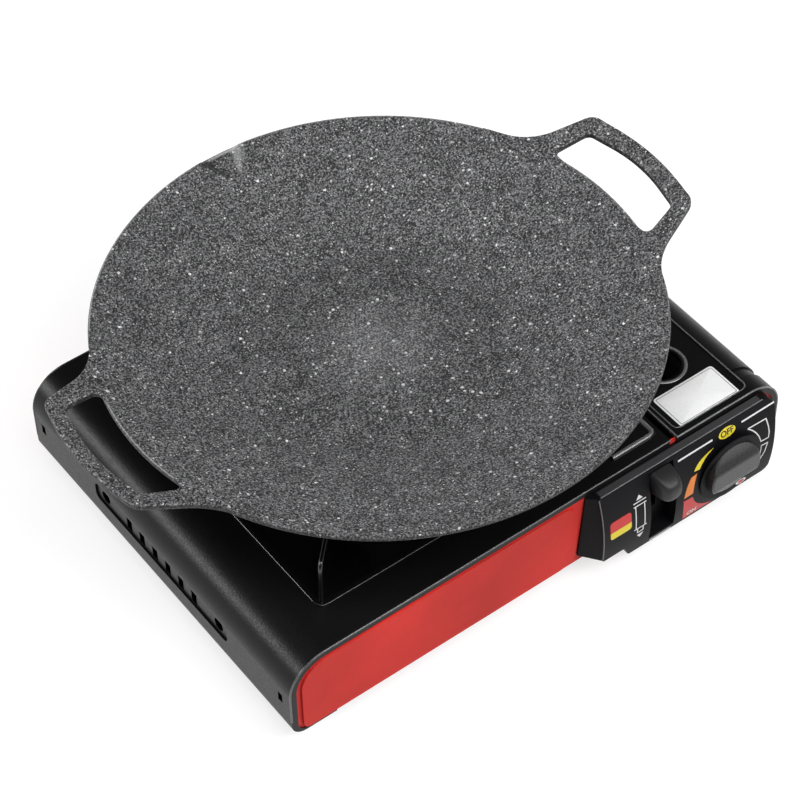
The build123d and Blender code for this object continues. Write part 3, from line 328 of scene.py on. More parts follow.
@dataclass(frozen=True)
class SprayedPaint(Finish):
    """Paint sprayed on pressed sheet, with orange peel and a slight drift in gloss."""

    name: str
    color: Triple
    roughness: float = 0.34
    specular: float = 0.5
    peel_per_metre: float = 900.0
    peel_share: float = 0.22
    coat: float = 0.0
    # Painted shade: a near-black colour for low, upward-facing floors inside the body.
    low_floor_shade: Triple | None = None
    low_floor_shade_height: Pair = (0.03, 0.025)
    low_floor_shade_slope: Pair = (0.5, 0.8)
    clouds_per_metre: float = 14.0
    deep_share: float = 0.82
    light_share: float = 1.12
    drift: Pair = (-0.05, 0.07)
    coat_roughness: float = 0.12
    depth: float = 0.0004

    def build(self) -> bpy.types.Material:
        """Colour drifts in broad clouds, fine peel moves gloss and relief, and low floors are painted near
        black as shade.

        Returns:
            The material.
        """
        sheet = NodeSheet(self.name)
        clouds = sheet.noise(self.clouds_per_metre, 3.0)
        peel = sheet.noise(self.peel_per_metre, 2.0, 0.55)
        deep, light = shade(self.color, self.deep_share), shade(self.color, self.light_share)
        paint = sheet.blend(sheet.span(clouds, *MOST_OF_NOISE), deep, light)
        # Painted shade: low floors that face upwards take the near-black colour.
        if self.low_floor_shade:
            low = sheet.span(sheet.split(sheet.place)[2], *self.low_floor_shade_height)
            floor = sheet.times(low, sheet.span(sheet.facing()[2], *self.low_floor_shade_slope))
            paint = sheet.blend(floor, paint, self.low_floor_shade)
        sheet.feed("Base Color", paint)
        sheet.gloss(peel, self.roughness, self.drift)
        sheet.set(Specular_IOR_Level=self.specular, Coat_Weight=self.coat, Coat_Roughness=self.coat_roughness)
        sheet.relief(peel, self.depth, self.peel_share)
        return sheet.material


@dataclass(frozen=True)
class StoneCoating(Finish):
    """Non-stick coating on cast metal: dark grey granules with scattered pale flecks.

    Lengths are in metres. Slopes are the upward part of a surface's normal, 1 on a level face. Limits are
    where a band starts, is full, fades and ends, and a span is two values and what they become.
    """

    name: str
    dark: Triple = (0.009, 0.009, 0.01)
    light: Triple = (0.235, 0.235, 0.24)
    fleck: Triple = (0.86, 0.86, 0.86)
    # Painted light: a pale colour for a highlight in the middle of the dish, and a dark one for the shade of
    # the ring round it.
    painted_middle_light: Triple = (0.5, 0.5, 0.51)
    painted_ring_shade: Triple = (0.01, 0.01, 0.011)
    grain_per_metre: float = 820.0
    grain_share: float = 0.9
    coarse_scale: float = 0.12
    granules: Pair = (0.455, 0.615)
    fleck_per_metre: float = 320.0
    fleck_share: float = 0.22
    speck_scale: float = 2.1
    speck_share: float = 0.56
    speck_tone: float = 0.85
    fleck_shake: Pair = (2.6, 0.55)
    fleck_tones: Pair = (0.25, 1.0)
    fleck_sizes: Pair = (0.1, 0.31)
    fleck_edge: Pair = (-0.04, 0.05)
    fleck_slope: Span = (0.2, 0.5, 0.2, 1.0)
    middle: Triple = (-0.0148, 0.003, 0.0)
    # Painted light and shade: the pale middle, the dark ring, the rim's highlight line, the darker edges and
    # the spout's banks.
    painted_light_reach: Pair = (0.046, 0.006)
    painted_light_share: float = 0.09
    painted_shade_ring: Limits = (0.024, 0.046, 0.06, 0.1)
    painted_ring_shade_share: float = 0.2
    # Painted highlight: a pale line along the top of the rim, except at the front.
    rim_highlight_ring: Limits = (0.1624, 0.1632, 0.1644, 0.165)
    rim_highlight_slope: Pair = (0.3, 0.6)
    rim_highlight_share: float = 0.3
    rim_highlight_front: Pair = (-0.11, -0.02)
    # Painted shade: faces that turn away from the top are drawn towards the dark granule colour.
    underside_shade_slope: Pair = (0.5, 0.2)
    edge_share: float = 0.7
    spout_x: float = -0.0125
    spout_run: Pair = (0.145, 0.167)
    spout_halves: Pair = (0.002, 0.0127)
    bank_run: Pair = (0.141, 0.163)
    # Painted shade on the spout's left bank and a painted highlight on its right bank.
    left_bank: Limits = (-1.5, -1.15, -0.75, -0.35)
    right_bank: Limits = (0.5, 0.8, 1.15, 1.5)
    bank_shade_share: float = 0.8
    bank_glint_share: float = 0.2
    roughness: Pair = (0.62, 0.46)
    specular: float = 0.4
    depth: float = 0.0011
    relief_share: float = 0.45

    def build(self) -> bpy.types.Material:
        """Two grains of noise give the granules, and cells of random size give the flecks.

        Returns:
            The material.
        """
        sheet = NodeSheet(self.name)
        grain = sheet.noise(self.grain_per_metre, 2.5, 0.7)
        coarse = sheet.noise(self.grain_per_metre * self.coarse_scale, 2.0)
        fine, broad = sheet.times(grain, self.grain_share), sheet.times(coarse, 1 - self.grain_share)
        mixed = sheet.math("ADD", fine, broad)
        up = sheet.facing()[2]
        body = sheet.blend(sheet.span(mixed, *self.granules), self.dark, self.light)
        # Painted light and shade laid over the granules' own colour.
        body = self.painted_light_and_shade(sheet, body, up)
        level = sheet.span(up, *self.fleck_slope)
        specks = self.flecks(sheet, self.fleck_per_metre * self.speck_scale, self.speck_share)
        body = sheet.blend(sheet.times(specks, sheet.times(level, self.speck_tone)), body, self.fleck)
        flecks = self.flecks(sheet, self.fleck_per_metre, self.fleck_share)
        body = sheet.blend(sheet.times(flecks, level), body, self.fleck)
        sheet.feed("Base Color", body)
        sheet.feed("Roughness", sheet.span(grain, *MOST_OF_NOISE, *self.roughness))
        sheet.set(Specular_IOR_Level=self.specular)
        sheet.relief(mixed, self.depth, self.relief_share)
        return sheet.material

    def painted_light_and_shade(self, sheet: NodeSheet, body: Socket, up: Socket) -> Socket:
        """Painted light and shade on the coating.

        The middle is painted pale as a highlight inside a ring of painted shade. The rim has a painted
        highlight line, apart from its front, as has the spout's right bank. The spout's left bank, edges and
        underside are painted as shade.

        Args:
            sheet: Node tree to build in.
            body: Colour of the granules.
            up: Slope of the surface.

        Returns:
            The colour with the painted light and shade.
        """
        away = self.from_middle(sheet)
        # Painted highlight: a pale middle. Painted shade: a dark ring round it.
        painted_middle_light = sheet.times(sheet.span(away, *self.painted_light_reach), self.painted_light_share)
        body = sheet.blend(painted_middle_light, body, self.painted_middle_light)
        painted_ring_shade = sheet.times(sheet.band(away, self.painted_shade_ring), self.painted_ring_shade_share)
        body = sheet.blend(painted_ring_shade, body, self.painted_ring_shade)
        # Painted highlight line on the rim, left off at the front.
        behind = sheet.span(sheet.split(sheet.place)[1], *self.rim_highlight_front)
        painted_glint = sheet.times(sheet.span(up, *self.rim_highlight_slope, 0.0, self.rim_highlight_share), behind)
        body = sheet.blend(sheet.times(sheet.band(away, self.rim_highlight_ring), painted_glint), body, self.fleck)
        # Painted shade on edges and underside, where the surface turns away from the light.
        body = sheet.blend(sheet.span(up, *self.underside_shade_slope, 0.0, self.edge_share), body, self.dark)
        # Painted shade on the spout's left bank and a painted highlight on its right bank.
        painted_bank_shade, painted_glint = self.banks(sheet)
        body = sheet.blend(sheet.times(painted_bank_shade, self.bank_shade_share), body, self.dark)
        return sheet.blend(sheet.times(painted_glint, self.bank_glint_share), body, self.fleck)

    def from_middle(self, sheet: NodeSheet) -> Socket:
        """Distance of a point from the middle of the dish, seen from above.

        Args:
            sheet: Node tree to build in.

        Returns:
            The distance in metres.
        """
        node = sheet.tree.nodes.new("ShaderNodeVectorMath")
        node.operation = "LENGTH"
        sheet.join(sheet.mapped((1.0, 1.0, 0.0), tuple(-c for c in self.middle)), node.inputs[0])
        return node.outputs["Value"]

    def banks(self, sheet: NodeSheet) -> tuple[Socket, Socket]:
        """Where the two banks of the spout's wedge lie, for painted shade on the left one and a painted
        highlight on the right one.

        A point's place across the wedge is w = (x - x0) / half(y), with half growing from the tip to the rim.

        Args:
            sheet: Node tree to build in.

        Returns:
            The left and the right bank, each from 0 to 1.
        """
        across, along, _ = sheet.split(sheet.place)
        half = sheet.span(along, *self.spout_run, *self.spout_halves)
        place = sheet.math("DIVIDE", sheet.math("ADD", across, -self.spout_x), half)
        grown = sheet.span(along, *self.bank_run)
        left = sheet.times(sheet.band(place, self.left_bank), grown)
        right = sheet.times(sheet.band(place, self.right_bank), grown)
        return left, right

    def flecks(self, sheet: NodeSheet, per_metre: float, share: float) -> Socket:
        """Flecks of random size and tone, present at this share of the scattered points.

        Args:
            sheet: Node tree to build in.
            per_metre: Scattered points to the metre.
            share: Share of the points that carry a fleck.

        Returns:
            The fleck's tone on a fleck and 0 elsewhere, with soft edges.
        """
        shake_scale, reach_share = self.fleck_shake
        where = sheet.shaken(per_metre * shake_scale, reach_share / per_metre)
        distance, color = sheet.cells(per_metre, where)
        chance = sheet.tree.nodes.new("ShaderNodeSeparateColor")
        sheet.join(color, chance.inputs[0])
        tone = sheet.span(chance.outputs[2], 0.0, 1.0, *self.fleck_tones)
        present = sheet.times(sheet.math("LESS_THAN", chance.outputs[0], share), tone)
        size = sheet.span(chance.outputs[1], 0.0, 1.0, *self.fleck_sizes)
        edge = sheet.math("SUBTRACT", size, distance)
        return sheet.times(sheet.span(edge, *self.fleck_edge), present)


@dataclass(frozen=True)
class MouldedPlastic(Finish):
    """Moulded plastic with a fine spark-eroded grain."""

    name: str
    color: Triple
    roughness: float = 0.42
    specular: float = 0.5
    grain_share: float = 0.16
    grain_per_metre: float = 1600.0
    clouds_per_metre: float = 30.0
    deep_share: float = 0.86
    drift: Pair = (-0.04, 0.06)
    depth: float = 0.0003

    def build(self) -> bpy.types.Material:
        """A fine even grain moves the relief and the gloss a little.

        Returns:
            The material.
        """
        sheet = NodeSheet(self.name)
        grain = sheet.noise(self.grain_per_metre, 1.5)
        sheet.clouded(sheet.noise(self.clouds_per_metre, 2.0), self.color, self.deep_share, MIDDLE_OF_NOISE)
        sheet.gloss(grain, self.roughness, self.drift)
        sheet.set(Specular_IOR_Level=self.specular)
        sheet.relief(grain, self.depth, self.grain_share)
        return sheet.material


@dataclass(frozen=True)
class BareMetal(Finish):
    """Drawn, plated or cast metal with its own grain."""

    name: str
    color: Triple
    roughness: float = 0.32
    grain: Grain = Grain.NONE
    per_metre: float = 420.0
    relief_share: float = 0.18
    deep_share: float = 0.72
    drift: Pair = (-0.08, 0.1)
    depth: float = 0.0005

    def build(self) -> bpy.types.Material:
        """Noise drawn out along the grain moves colour, gloss and relief.

        Returns:
            The material.
        """
        sheet = NodeSheet(self.name)
        drawn = sheet.noise(self.per_metre, 4.0, 0.6, sheet.mapped(self.grain.value))
        sheet.clouded(drawn, self.color, self.deep_share)
        sheet.gloss(drawn, self.roughness, self.drift)
        sheet.set(Metallic=1.0)
        sheet.relief(drawn, self.depth, self.relief_share)
        return sheet.material


@dataclass(frozen=True)
class SoftSurface(Finish):
    """Matt rubber, sleeve or glazed ceramic: a clouded colour with its own gloss."""

    name: str
    color: Triple
    roughness: float = 0.8
    specular: float = 0.3
    per_metre: float = 500.0
    deep_share: float = 0.75
    depth: float = 0.0003
    relief_share: float = 0.2

    def build(self) -> bpy.types.Material:
        """Fine clouds move the colour and the relief.

        Returns:
            The material.
        """
        sheet = NodeSheet(self.name)
        clouds = sheet.noise(self.per_metre, 3.0, 0.6)
        sheet.clouded(clouds, self.color, self.deep_share)
        sheet.set(Roughness=self.roughness, Specular_IOR_Level=self.specular)
        sheet.relief(clouds, self.depth, self.relief_share)
        return sheet.material


@dataclass(frozen=True)
class PrintInk(Finish):
    """Screen-printed ink or a glossy sticker, with a trace of mottle."""

    name: str
    color: Triple
    roughness: float = 0.38
    specular: float = 0.4
    per_metre: float = 700.0
    deep_share: float = 0.96
    depth: float = 0.0001
    relief_share: float = 0.1

    def build(self) -> bpy.types.Material:
        """Faint mottle keeps the ink from being one flat colour.

        Returns:
            The material.
        """
        sheet = NodeSheet(self.name)
        mottle = sheet.noise(self.per_metre, 2.0)
        sheet.clouded(mottle, self.color, self.deep_share, MIDDLE_OF_NOISE)
        sheet.set(Roughness=self.roughness, Specular_IOR_Level=self.specular)
        sheet.relief(mottle, self.depth, self.relief_share)
        return sheet.material


BLACK_PAINT = SprayedPaint("satin_black_paint", (0.005, 0.005, 0.0055), 0.33, 0.17)
# Painted highlights: these edge paints are far lighter than the black paint, so thin edges show as light
# lines.
EDGE_PAINT = SprayedPaint("painted_highlight_edge", (0.125, 0.125, 0.128), 0.24, 1.0, 900.0, 0.05)
SHELL_EDGE_PAINT = SprayedPaint("painted_highlight_shell_edge", (0.045, 0.045, 0.046), 0.24, 1.0, 900.0, 0.05)
# The red paint's low floors inside the body are painted near black as shade.
RED_PAINT = SprayedPaint("red_panel_paint", (0.68, 0.038, 0.03), 0.5, 0.16, 700.0, 0.12,
                         low_floor_shade=(0.006, 0.006, 0.0065))
ENAMEL = SprayedPaint("black_enamel", (0.004, 0.004, 0.0042), 0.16, 0.5, 260.0, 0.1, 0.4)
STONE = StoneCoating("stone_coating")
# The handles leave out the rim's painted highlight line.
HANDLE_STONE = StoneCoating("stone_coated_handle", rim_highlight_share=0.0)
FASCIA_PLASTIC = MouldedPlastic("fascia_plastic", (0.0058, 0.0056, 0.007), 0.42, 0.09)
FASCIA_TOP = MouldedPlastic("fascia_top_plastic", (0.042, 0.042, 0.044), 0.5, 0.3)
# Painted highlight: a light grey for the fascia's fine edges.
FASCIA_EDGE = MouldedPlastic("fascia_painted_highlight_edge", (0.11, 0.11, 0.112), 0.3, 0.8)
KNOB_PLASTIC = MouldedPlastic("knob_plastic", (0.024, 0.024, 0.025), 0.28, 0.6, 0.06)
BRIM_PLASTIC = MouldedPlastic("knob_brim_plastic", (0.003, 0.003, 0.0032), 0.5, 0.1)
BUTTON_PLASTIC = MouldedPlastic("button_plastic", (0.016, 0.016, 0.017), 0.44, 0.4)
STEEL = BareMetal("drawn_steel", (0.56, 0.56, 0.57), 0.3, Grain.ALONG_Y)
ZINC = BareMetal("zinc_plated_sheet", (0.62, 0.63, 0.65), 0.38, Grain.ALONG_X, 260.0)
ALLOY = BareMetal("as_cast_alloy", (0.5, 0.5, 0.51), 0.52, Grain.NONE, 700.0, 0.4)
BRASS = BareMetal("turned_brass", (0.72, 0.5, 0.2), 0.26, Grain.ALONG_X)
RUBBER = SoftSurface("foot_rubber", (0.02, 0.02, 0.021))
SLEEVE = SoftSurface("silicone_sleeve", (0.7, 0.67, 0.62), 0.55, 0.4)
CERAMIC = SoftSurface("glazed_ceramic", (0.84, 0.82, 0.77), 0.22, 0.5, 240.0)
WHITE_INK = PrintInk("white_ink", (0.8, 0.8, 0.8))
YELLOW_INK = PrintInk("yellow_ink", (0.83, 0.68, 0.04))
ORANGE_INK = PrintInk("orange_ink", (0.82, 0.24, 0.04))
RED_INK = PrintInk("red_ink", (0.62, 0.035, 0.035))
BLACK_INK = PrintInk("black_ink", (0.02, 0.02, 0.02))
GREY_INK = PrintInk("grey_ink", (0.22, 0.22, 0.23))
CARD = PrintInk("label_card", (0.91, 0.91, 0.91), 0.32)

SLOT_FINISH: dict[str, Finish] = {
    "black_paint": BLACK_PAINT,
    "red_paint": RED_PAINT,
    "black_enamel": ENAMEL,
    "stone_coating": STONE,
    "black_plastic": FASCIA_PLASTIC,
    "steel": STEEL,
    "zinc_sheet": ZINC,
    "cast_alloy": ALLOY,
    "brass": BRASS,
    "rubber": RUBBER,
    "lead_sleeve": SLEEVE,
    "ceramic": CERAMIC,
}


@dataclass
class Patch:
    """A grid of points on a surface of two parameters, in millimetres."""

    points: Array
    wrap_rows: bool = False
    wrap_columns: bool = False
    finish: int = 0

    def quads(self) -> Array:
        """Faces of the grid, each from a point to its next column and next row.

        Returns:
            Four indices of points for each face.
        """
        rows, columns = self.points.shape[:2]
        row = np.arange(rows if self.wrap_rows else rows - 1)[:, None]
        column = np.arange(columns if self.wrap_columns else columns - 1)[None, :]
        here = row * columns
        below = (row + 1) % rows * columns
        beside = (column + 1) % columns
        corners = np.broadcast_arrays(here + column, here + beside, below + beside, below + column)
        return np.stack(corners, -1).reshape(-1, 4)


def put_in_scene(name: str, data: bpy.types.ID) -> bpy.types.Object:
    """Links a new object to the scene.

    Args:
        name: Name of the object.
        data: Its mesh, light, camera or curve.

    Returns:
        The new object.
    """
    thing = bpy.data.objects.new(name, data)
    bpy.context.scene.collection.objects.link(thing)
    return thing


def make_piece(name: str, patches: list[Patch], finishes: list[Finish], body: str,
               sharp_degrees: float = 40.0) -> bpy.types.Object:
    """Joins patches into one closed mesh, merges its seams and poles, and lets it ride on a body.

    Args:
        name: Name of the new piece.
        patches: Grids of points in millimetres.
        finishes: Finishes that the patches' numbers pick from.
        body: CAD body that the piece moves with.
        sharp_degrees: Faces that meet at more than this angle keep a sharp edge.

    Returns:
        The new object.
    """
    starts = np.cumsum([0] + [p.points.shape[0] * p.points.shape[1] for p in patches[:-1]])
    points = np.concatenate([p.points.reshape(-1, 3) for p in patches]) * MM
    quads = np.concatenate([p.quads() + start for p, start in zip(patches, starts)])
    numbers = np.concatenate([np.full(len(p.quads()), p.finish) for p in patches])
    mesh = bpy.data.meshes.new(name)
    mesh.from_pydata(points.tolist(), [], quads.tolist())
    mesh.polygons.foreach_set("material_index", numbers.astype(np.int32))
    shape = bmesh.new()
    shape.from_mesh(mesh)
    bmesh.ops.remove_doubles(shape, verts=shape.verts, dist=MERGE_REACH)
    bmesh.ops.dissolve_degenerate(shape, edges=shape.edges, dist=SHORTEST_EDGE)
    bmesh.ops.recalc_face_normals(shape, faces=shape.faces)
    shape.to_mesh(mesh)
    shape.free()
    for finish in finishes:
        mesh.materials.append(finish.material())
    mesh.shade_smooth()
    mesh.set_sharp_from_angle(angle=np.radians(sharp_degrees))
    piece = put_in_scene(name, mesh)
    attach(piece, body)
    LOG.info("%s: %d faces on %s", name, len(mesh.polygons), body)
    return piece


def round_angles(count: int) -> Array:
    """Angles spaced evenly round a full turn."""
    return np.linspace(0.0, 2 * np.pi, count, endpoint=False)


def at_height(run: Array, z: float) -> Array:
    """Points of a run in plan, all at one height."""
    return np.concatenate([run, np.full((len(run), 1), z)], 1)


def even_path(points: Array, count: int) -> Array:
    """Points spaced evenly along a run of points, by its length so far.

    Args:
        points: The run, in the plane or in space.
        count: How many points to give back.

    Returns:
        The evenly spaced points.
    """
    steps = np.linalg.norm(np.diff(points, axis=0), axis=1)
    length = np.concatenate([[0.0], np.cumsum(steps)])
    at = np.linspace(0.0, length[-1], count)
    return np.stack([np.interp(at, length, points[:, k]) for k in range(points.shape[1])], -1)


def rounded_run(corners: Sequence[Pair], radii: Sequence[float], closed: bool = False,
                samples: int = 7) -> Array:
    """A run of straight lines whose corners are replaced by arcs.

    Each arc starts and ends at radius / tan(half the angle) from its corner, and swings round a centre
    on the bisector, so its points are centre + radius * (cos, sin) of evenly spaced angles.

    Args:
        corners: Corner points in the plane.
        radii: Radius at each corner, 0 for a sharp one.
        closed: Whether the last corner joins the first.
        samples: Points on each arc.

    Returns:
        Points of the run, in order.
    """
    run = []
    spots = np.array(corners, float)
    for index, (spot, radius) in enumerate(zip(spots, radii)):
        end = not closed and index in (0, len(spots) - 1)
        if end or radius <= 0:
            run.append(spot[None])
            continue
        to_last = spots[index - 1] - spot
        to_next = spots[(index + 1) % len(spots)] - spot
        to_last /= np.linalg.norm(to_last)
        to_next /= np.linalg.norm(to_next)
        half = np.arccos(np.clip(to_last @ to_next, -1, 1)) / 2
        bisector = (to_last + to_next) / np.linalg.norm(to_last + to_next)
        centre = spot + bisector * radius / np.sin(half)
        first = spot + to_last * radius / np.tan(half) - centre
        final = spot + to_next * radius / np.tan(half) - centre
        turn = np.arctan2(first[0] * final[1] - first[1] * final[0], first @ final)
        angle = np.linspace(0.0, turn, samples)[:, None]
        across = np.array([-first[1], first[0]])
        run.append(centre + first * np.cos(angle) + across * np.sin(angle))
    return np.concatenate(run)


def carried_round(path: Array, radius: float, closed: bool, sides: int = 10) -> Patch:
    """A round section carried along a path in space.

    Point = path + radius * (cos a * side + sin a * up), where side and up are square to the path's
    direction. An open path ends in a section of no size, so that the ends are closed.

    Args:
        path: Points of the path in millimetres.
        radius: Radius of the section.
        closed: Whether the path's end joins its start.
        sides: Points round the section.

    Returns:
        The surface as a patch.
    """
    nearly_along = 0.9
    along = np.roll(path, -1, 0) - np.roll(path, 1, 0) if closed else np.gradient(path, axis=0)
    along /= np.linalg.norm(along, axis=1)[:, None]
    square = np.linalg.svd(path - path.mean(0))[2][2]
    if np.abs(along @ square).max() > nearly_along:
        upright = abs(along.mean(0)[2]) >= nearly_along
        square = np.array([1.0, 0.0, 0.0] if upright else [0.0, 0.0, 1.0])
    side = np.cross(along, square)
    side /= np.linalg.norm(side, axis=1)[:, None]
    up = np.cross(side, along)
    size = np.full(len(path), radius)
    if not closed:
        path, side, up = (np.concatenate([rows[:1], rows, rows[-1:]]) for rows in (path, side, up))
        size = np.concatenate([[0.0], size, [0.0]])
    angle = round_angles(sides)[None, :, None]
    ring = np.cos(angle) * side[:, None] + np.sin(angle) * up[:, None]
    return Patch(path[:, None] + size[:, None, None] * ring, wrap_rows=closed, wrap_columns=True)


@dataclass
class GriddlePlate:
    """Round dished griddle with a pouring spout and two tilted loop handles.

    A handle's outlines are corners from its root to the middle of its outer edge, as reach from the rim and
    place along it, each with its radius.
    """

    centre: Pair = (-14.8, 3.0)
    base: float = 102.0
    radius: float = 164.0
    rise: float = 34.0
    floor: float = 5.0
    lip: float = 3.5
    lip_radii: Pair = (1.4, 1.1)
    flat: float = 78.0
    bend: float = 60.0
    section_points: int = 240
    columns: int = 360
    spout_at: float = 89.2
    spout_half: float = 12.7
    spout_tip: float = 2.0
    spout_length: float = 22.0
    spout_depth: float = 2.6
    spout_reach: float = 1.75
    bank_end: float = 1.2
    bank_width: float = 0.4
    crowding: float = 0.8
    turn: float = -0.8
    thickness: float = 5.5
    handle_share: float = 0.92
    root_thinning: float = 0.5
    thin_from: float = 0.6
    edge_share: float = 0.36
    proud: float = 0.07
    handle_sides: int = 40
    outer_run: tuple[Pair, ...] = ((-24.9, 86.0), (-22.6, 82.0), (-10.4, 60.4), (27.9, 46.0), (36.5, 0.0))
    outer_radii: tuple[float, ...] = (0, 0, 42.0, 10.0, 150.0)
    slot_run: tuple[Pair, ...] = ((-14.0, 30.0), (-4.3, 33.0), (-4.5, 43.6), (18.4, 38.4), (26.6, 0.0))
    slot_radii: tuple[float, ...] = (0, 0, 4.2, 5.5, 110.0)

    def profile(self) -> Array:
        """Closed section of the dish, from the middle outwards below and back above.

        Returns:
            Points as radius and height.
        """
        corners = [
            (0.0, 0.0), (self.flat, 0.0), (self.radius, self.rise - self.lip), (self.radius, self.rise),
            (self.flat, self.floor), (0.0, self.floor),
        ]
        return rounded_run(corners, [0, self.bend, *self.lip_radii, self.bend, 0], samples=12)

    def dish(self) -> Patch:
        """The section turned round the middle: (r cos t, r sin t, z), pressed out and down at the spout.

        The spout is a wedge that lowers the wall by depth * g and draws it out by reach * g, with
        g = ramp(r) * smooth((end - |s| / half(r)) / width), where s is the distance along the rim from the
        spout, the ramp rises from 0 at the wedge's tip to 1 at the rim, half(r) widens with it, and smooth(x)
        is 3 x^2 - 2 x^3 held to 0..1. The columns t = a + q - crowding * sin q, q even, crowd together at the
        spout.

        Returns:
            The dish as a patch.
        """
        section = even_path(self.profile(), self.section_points)
        radius, height = section[:, :1], section[:, 1:]
        even = round_angles(self.columns)[None, :]
        spout = np.radians(self.spout_at)
        turn = spout + even - self.crowding * np.sin(even)
        apart = radius * np.angle(np.exp(1j * (turn - spout)))
        ramp = np.clip((radius - self.radius + self.spout_length) / self.spout_length, 0.0, 1.0)
        half = self.spout_tip + (self.spout_half - self.spout_tip) * ramp
        bank = np.clip((self.bank_end - np.abs(apart) / half) / self.bank_width, 0.0, 1.0)
        press = ramp * bank * bank * (3 - 2 * bank)
        radius = radius + self.spout_reach * press
        grid = np.broadcast_arrays(
            self.centre[0] + radius * np.cos(turn),
            self.centre[1] + radius * np.sin(turn),
            self.base + height - self.spout_depth * press,
        )
        return Patch(np.stack(grid, -1), wrap_columns=True)

    def loop(self, half_run: tuple[Pair, ...], radii: tuple[float, ...]) -> Array:
        """Outline of a handle in plan, as reach u from the rim and place v along it.

        Half of the run is mirrored in v, and its corners are rounded, so that the outer edge bows and the
        sides flare into the rim. Each corner has the same number of points, so two outlines with as many
        corners match point by point.

        Args:
            half_run: Corners from the root to the middle of the outer edge.
            radii: Radius at each of these corners.

        Returns:
            Points from one root round to the other.
        """
        other = [(u, -v) for u, v in half_run[-2::-1]]
        run = rounded_run([*half_run, *other], [*radii, *radii[-2::-1]], samples=16)
        at = np.linspace(0.0, len(run) - 1.0, 3 * len(run) - 2)
        return np.stack([np.interp(at, np.arange(len(run)), run[:, k]) for k in range(2)], -1)

    def handle(self, side: int) -> Patch:
        """Rounded section carried between the outer outline and the slot's outline, on the wall's own cone.

        Plan = middle of the outlines + direction * (sign(cos a) * (half - e) + e cos a), and height =
        rim + slope * (r - R) + sign(sin a) * (t / 2 - e) + e sin a - t / 2, where r is the distance from
        the plate's axis, t the thickness, which fades towards the roots, and e the edge's radius.

        Args:
            side: -1 for the left handle and 1 for the right one.

        Returns:
            The handle as a patch.
        """
        outer = self.loop(self.outer_run, self.outer_radii)
        inner = self.loop(self.slot_run, self.slot_radii)
        angle = round_angles(self.handle_sides)[None, :]
        half = np.linalg.norm(outer - inner, axis=1)[:, None] / 2
        along = np.abs(np.linspace(-1.0, 1.0, len(outer)))[:, None]
        to_root = np.clip((along - self.thin_from) / (1 - self.thin_from), 0.0, 1.0)
        thick = self.thickness * (self.handle_share - self.root_thinning * to_root)
        edge = self.edge_share * thick
        across = np.sign(np.cos(angle)) * (half - edge) + edge * np.cos(angle)
        lift = np.sign(np.sin(angle)) * (thick / 2 - edge) + edge * np.sin(angle) - thick / 2
        direction = (outer - inner) / (2 * half)
        plan = ((outer + inner) / 2)[:, None] + direction[:, None] * across[..., None]
        x, y = self.radius + plan[..., 0], plan[..., 1]
        slope = (self.rise - self.floor) / (self.radius - self.flat)
        height = self.base + self.rise + slope * (np.hypot(x, y) - self.radius) + lift + self.proud
        turn = np.radians(self.turn)
        grid = np.stack([
            self.centre[0] + side * x * np.cos(turn) - y * np.sin(turn),
            self.centre[1] + side * x * np.sin(turn) + y * np.cos(turn),
            height,
        ], -1)
        first, last = (np.broadcast_to(row.mean(0), row.shape)[None] for row in (grid[0], grid[-1]))
        return Patch(np.concatenate([first, grid, last]), wrap_columns=True)

    def build(self) -> None:
        """Makes the dish and handles and lets them stand for the CAD griddle."""
        dish = make_piece("griddle_dish", [self.dish()], [STONE], "griddle")
        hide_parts("griddle_plate")
        for side, name in ((-1, "left"), (1, "right")):
            handle = [self.handle(side)]
            make_piece(f"griddle_handle_{name}", handle, [HANDLE_STONE], "griddle")


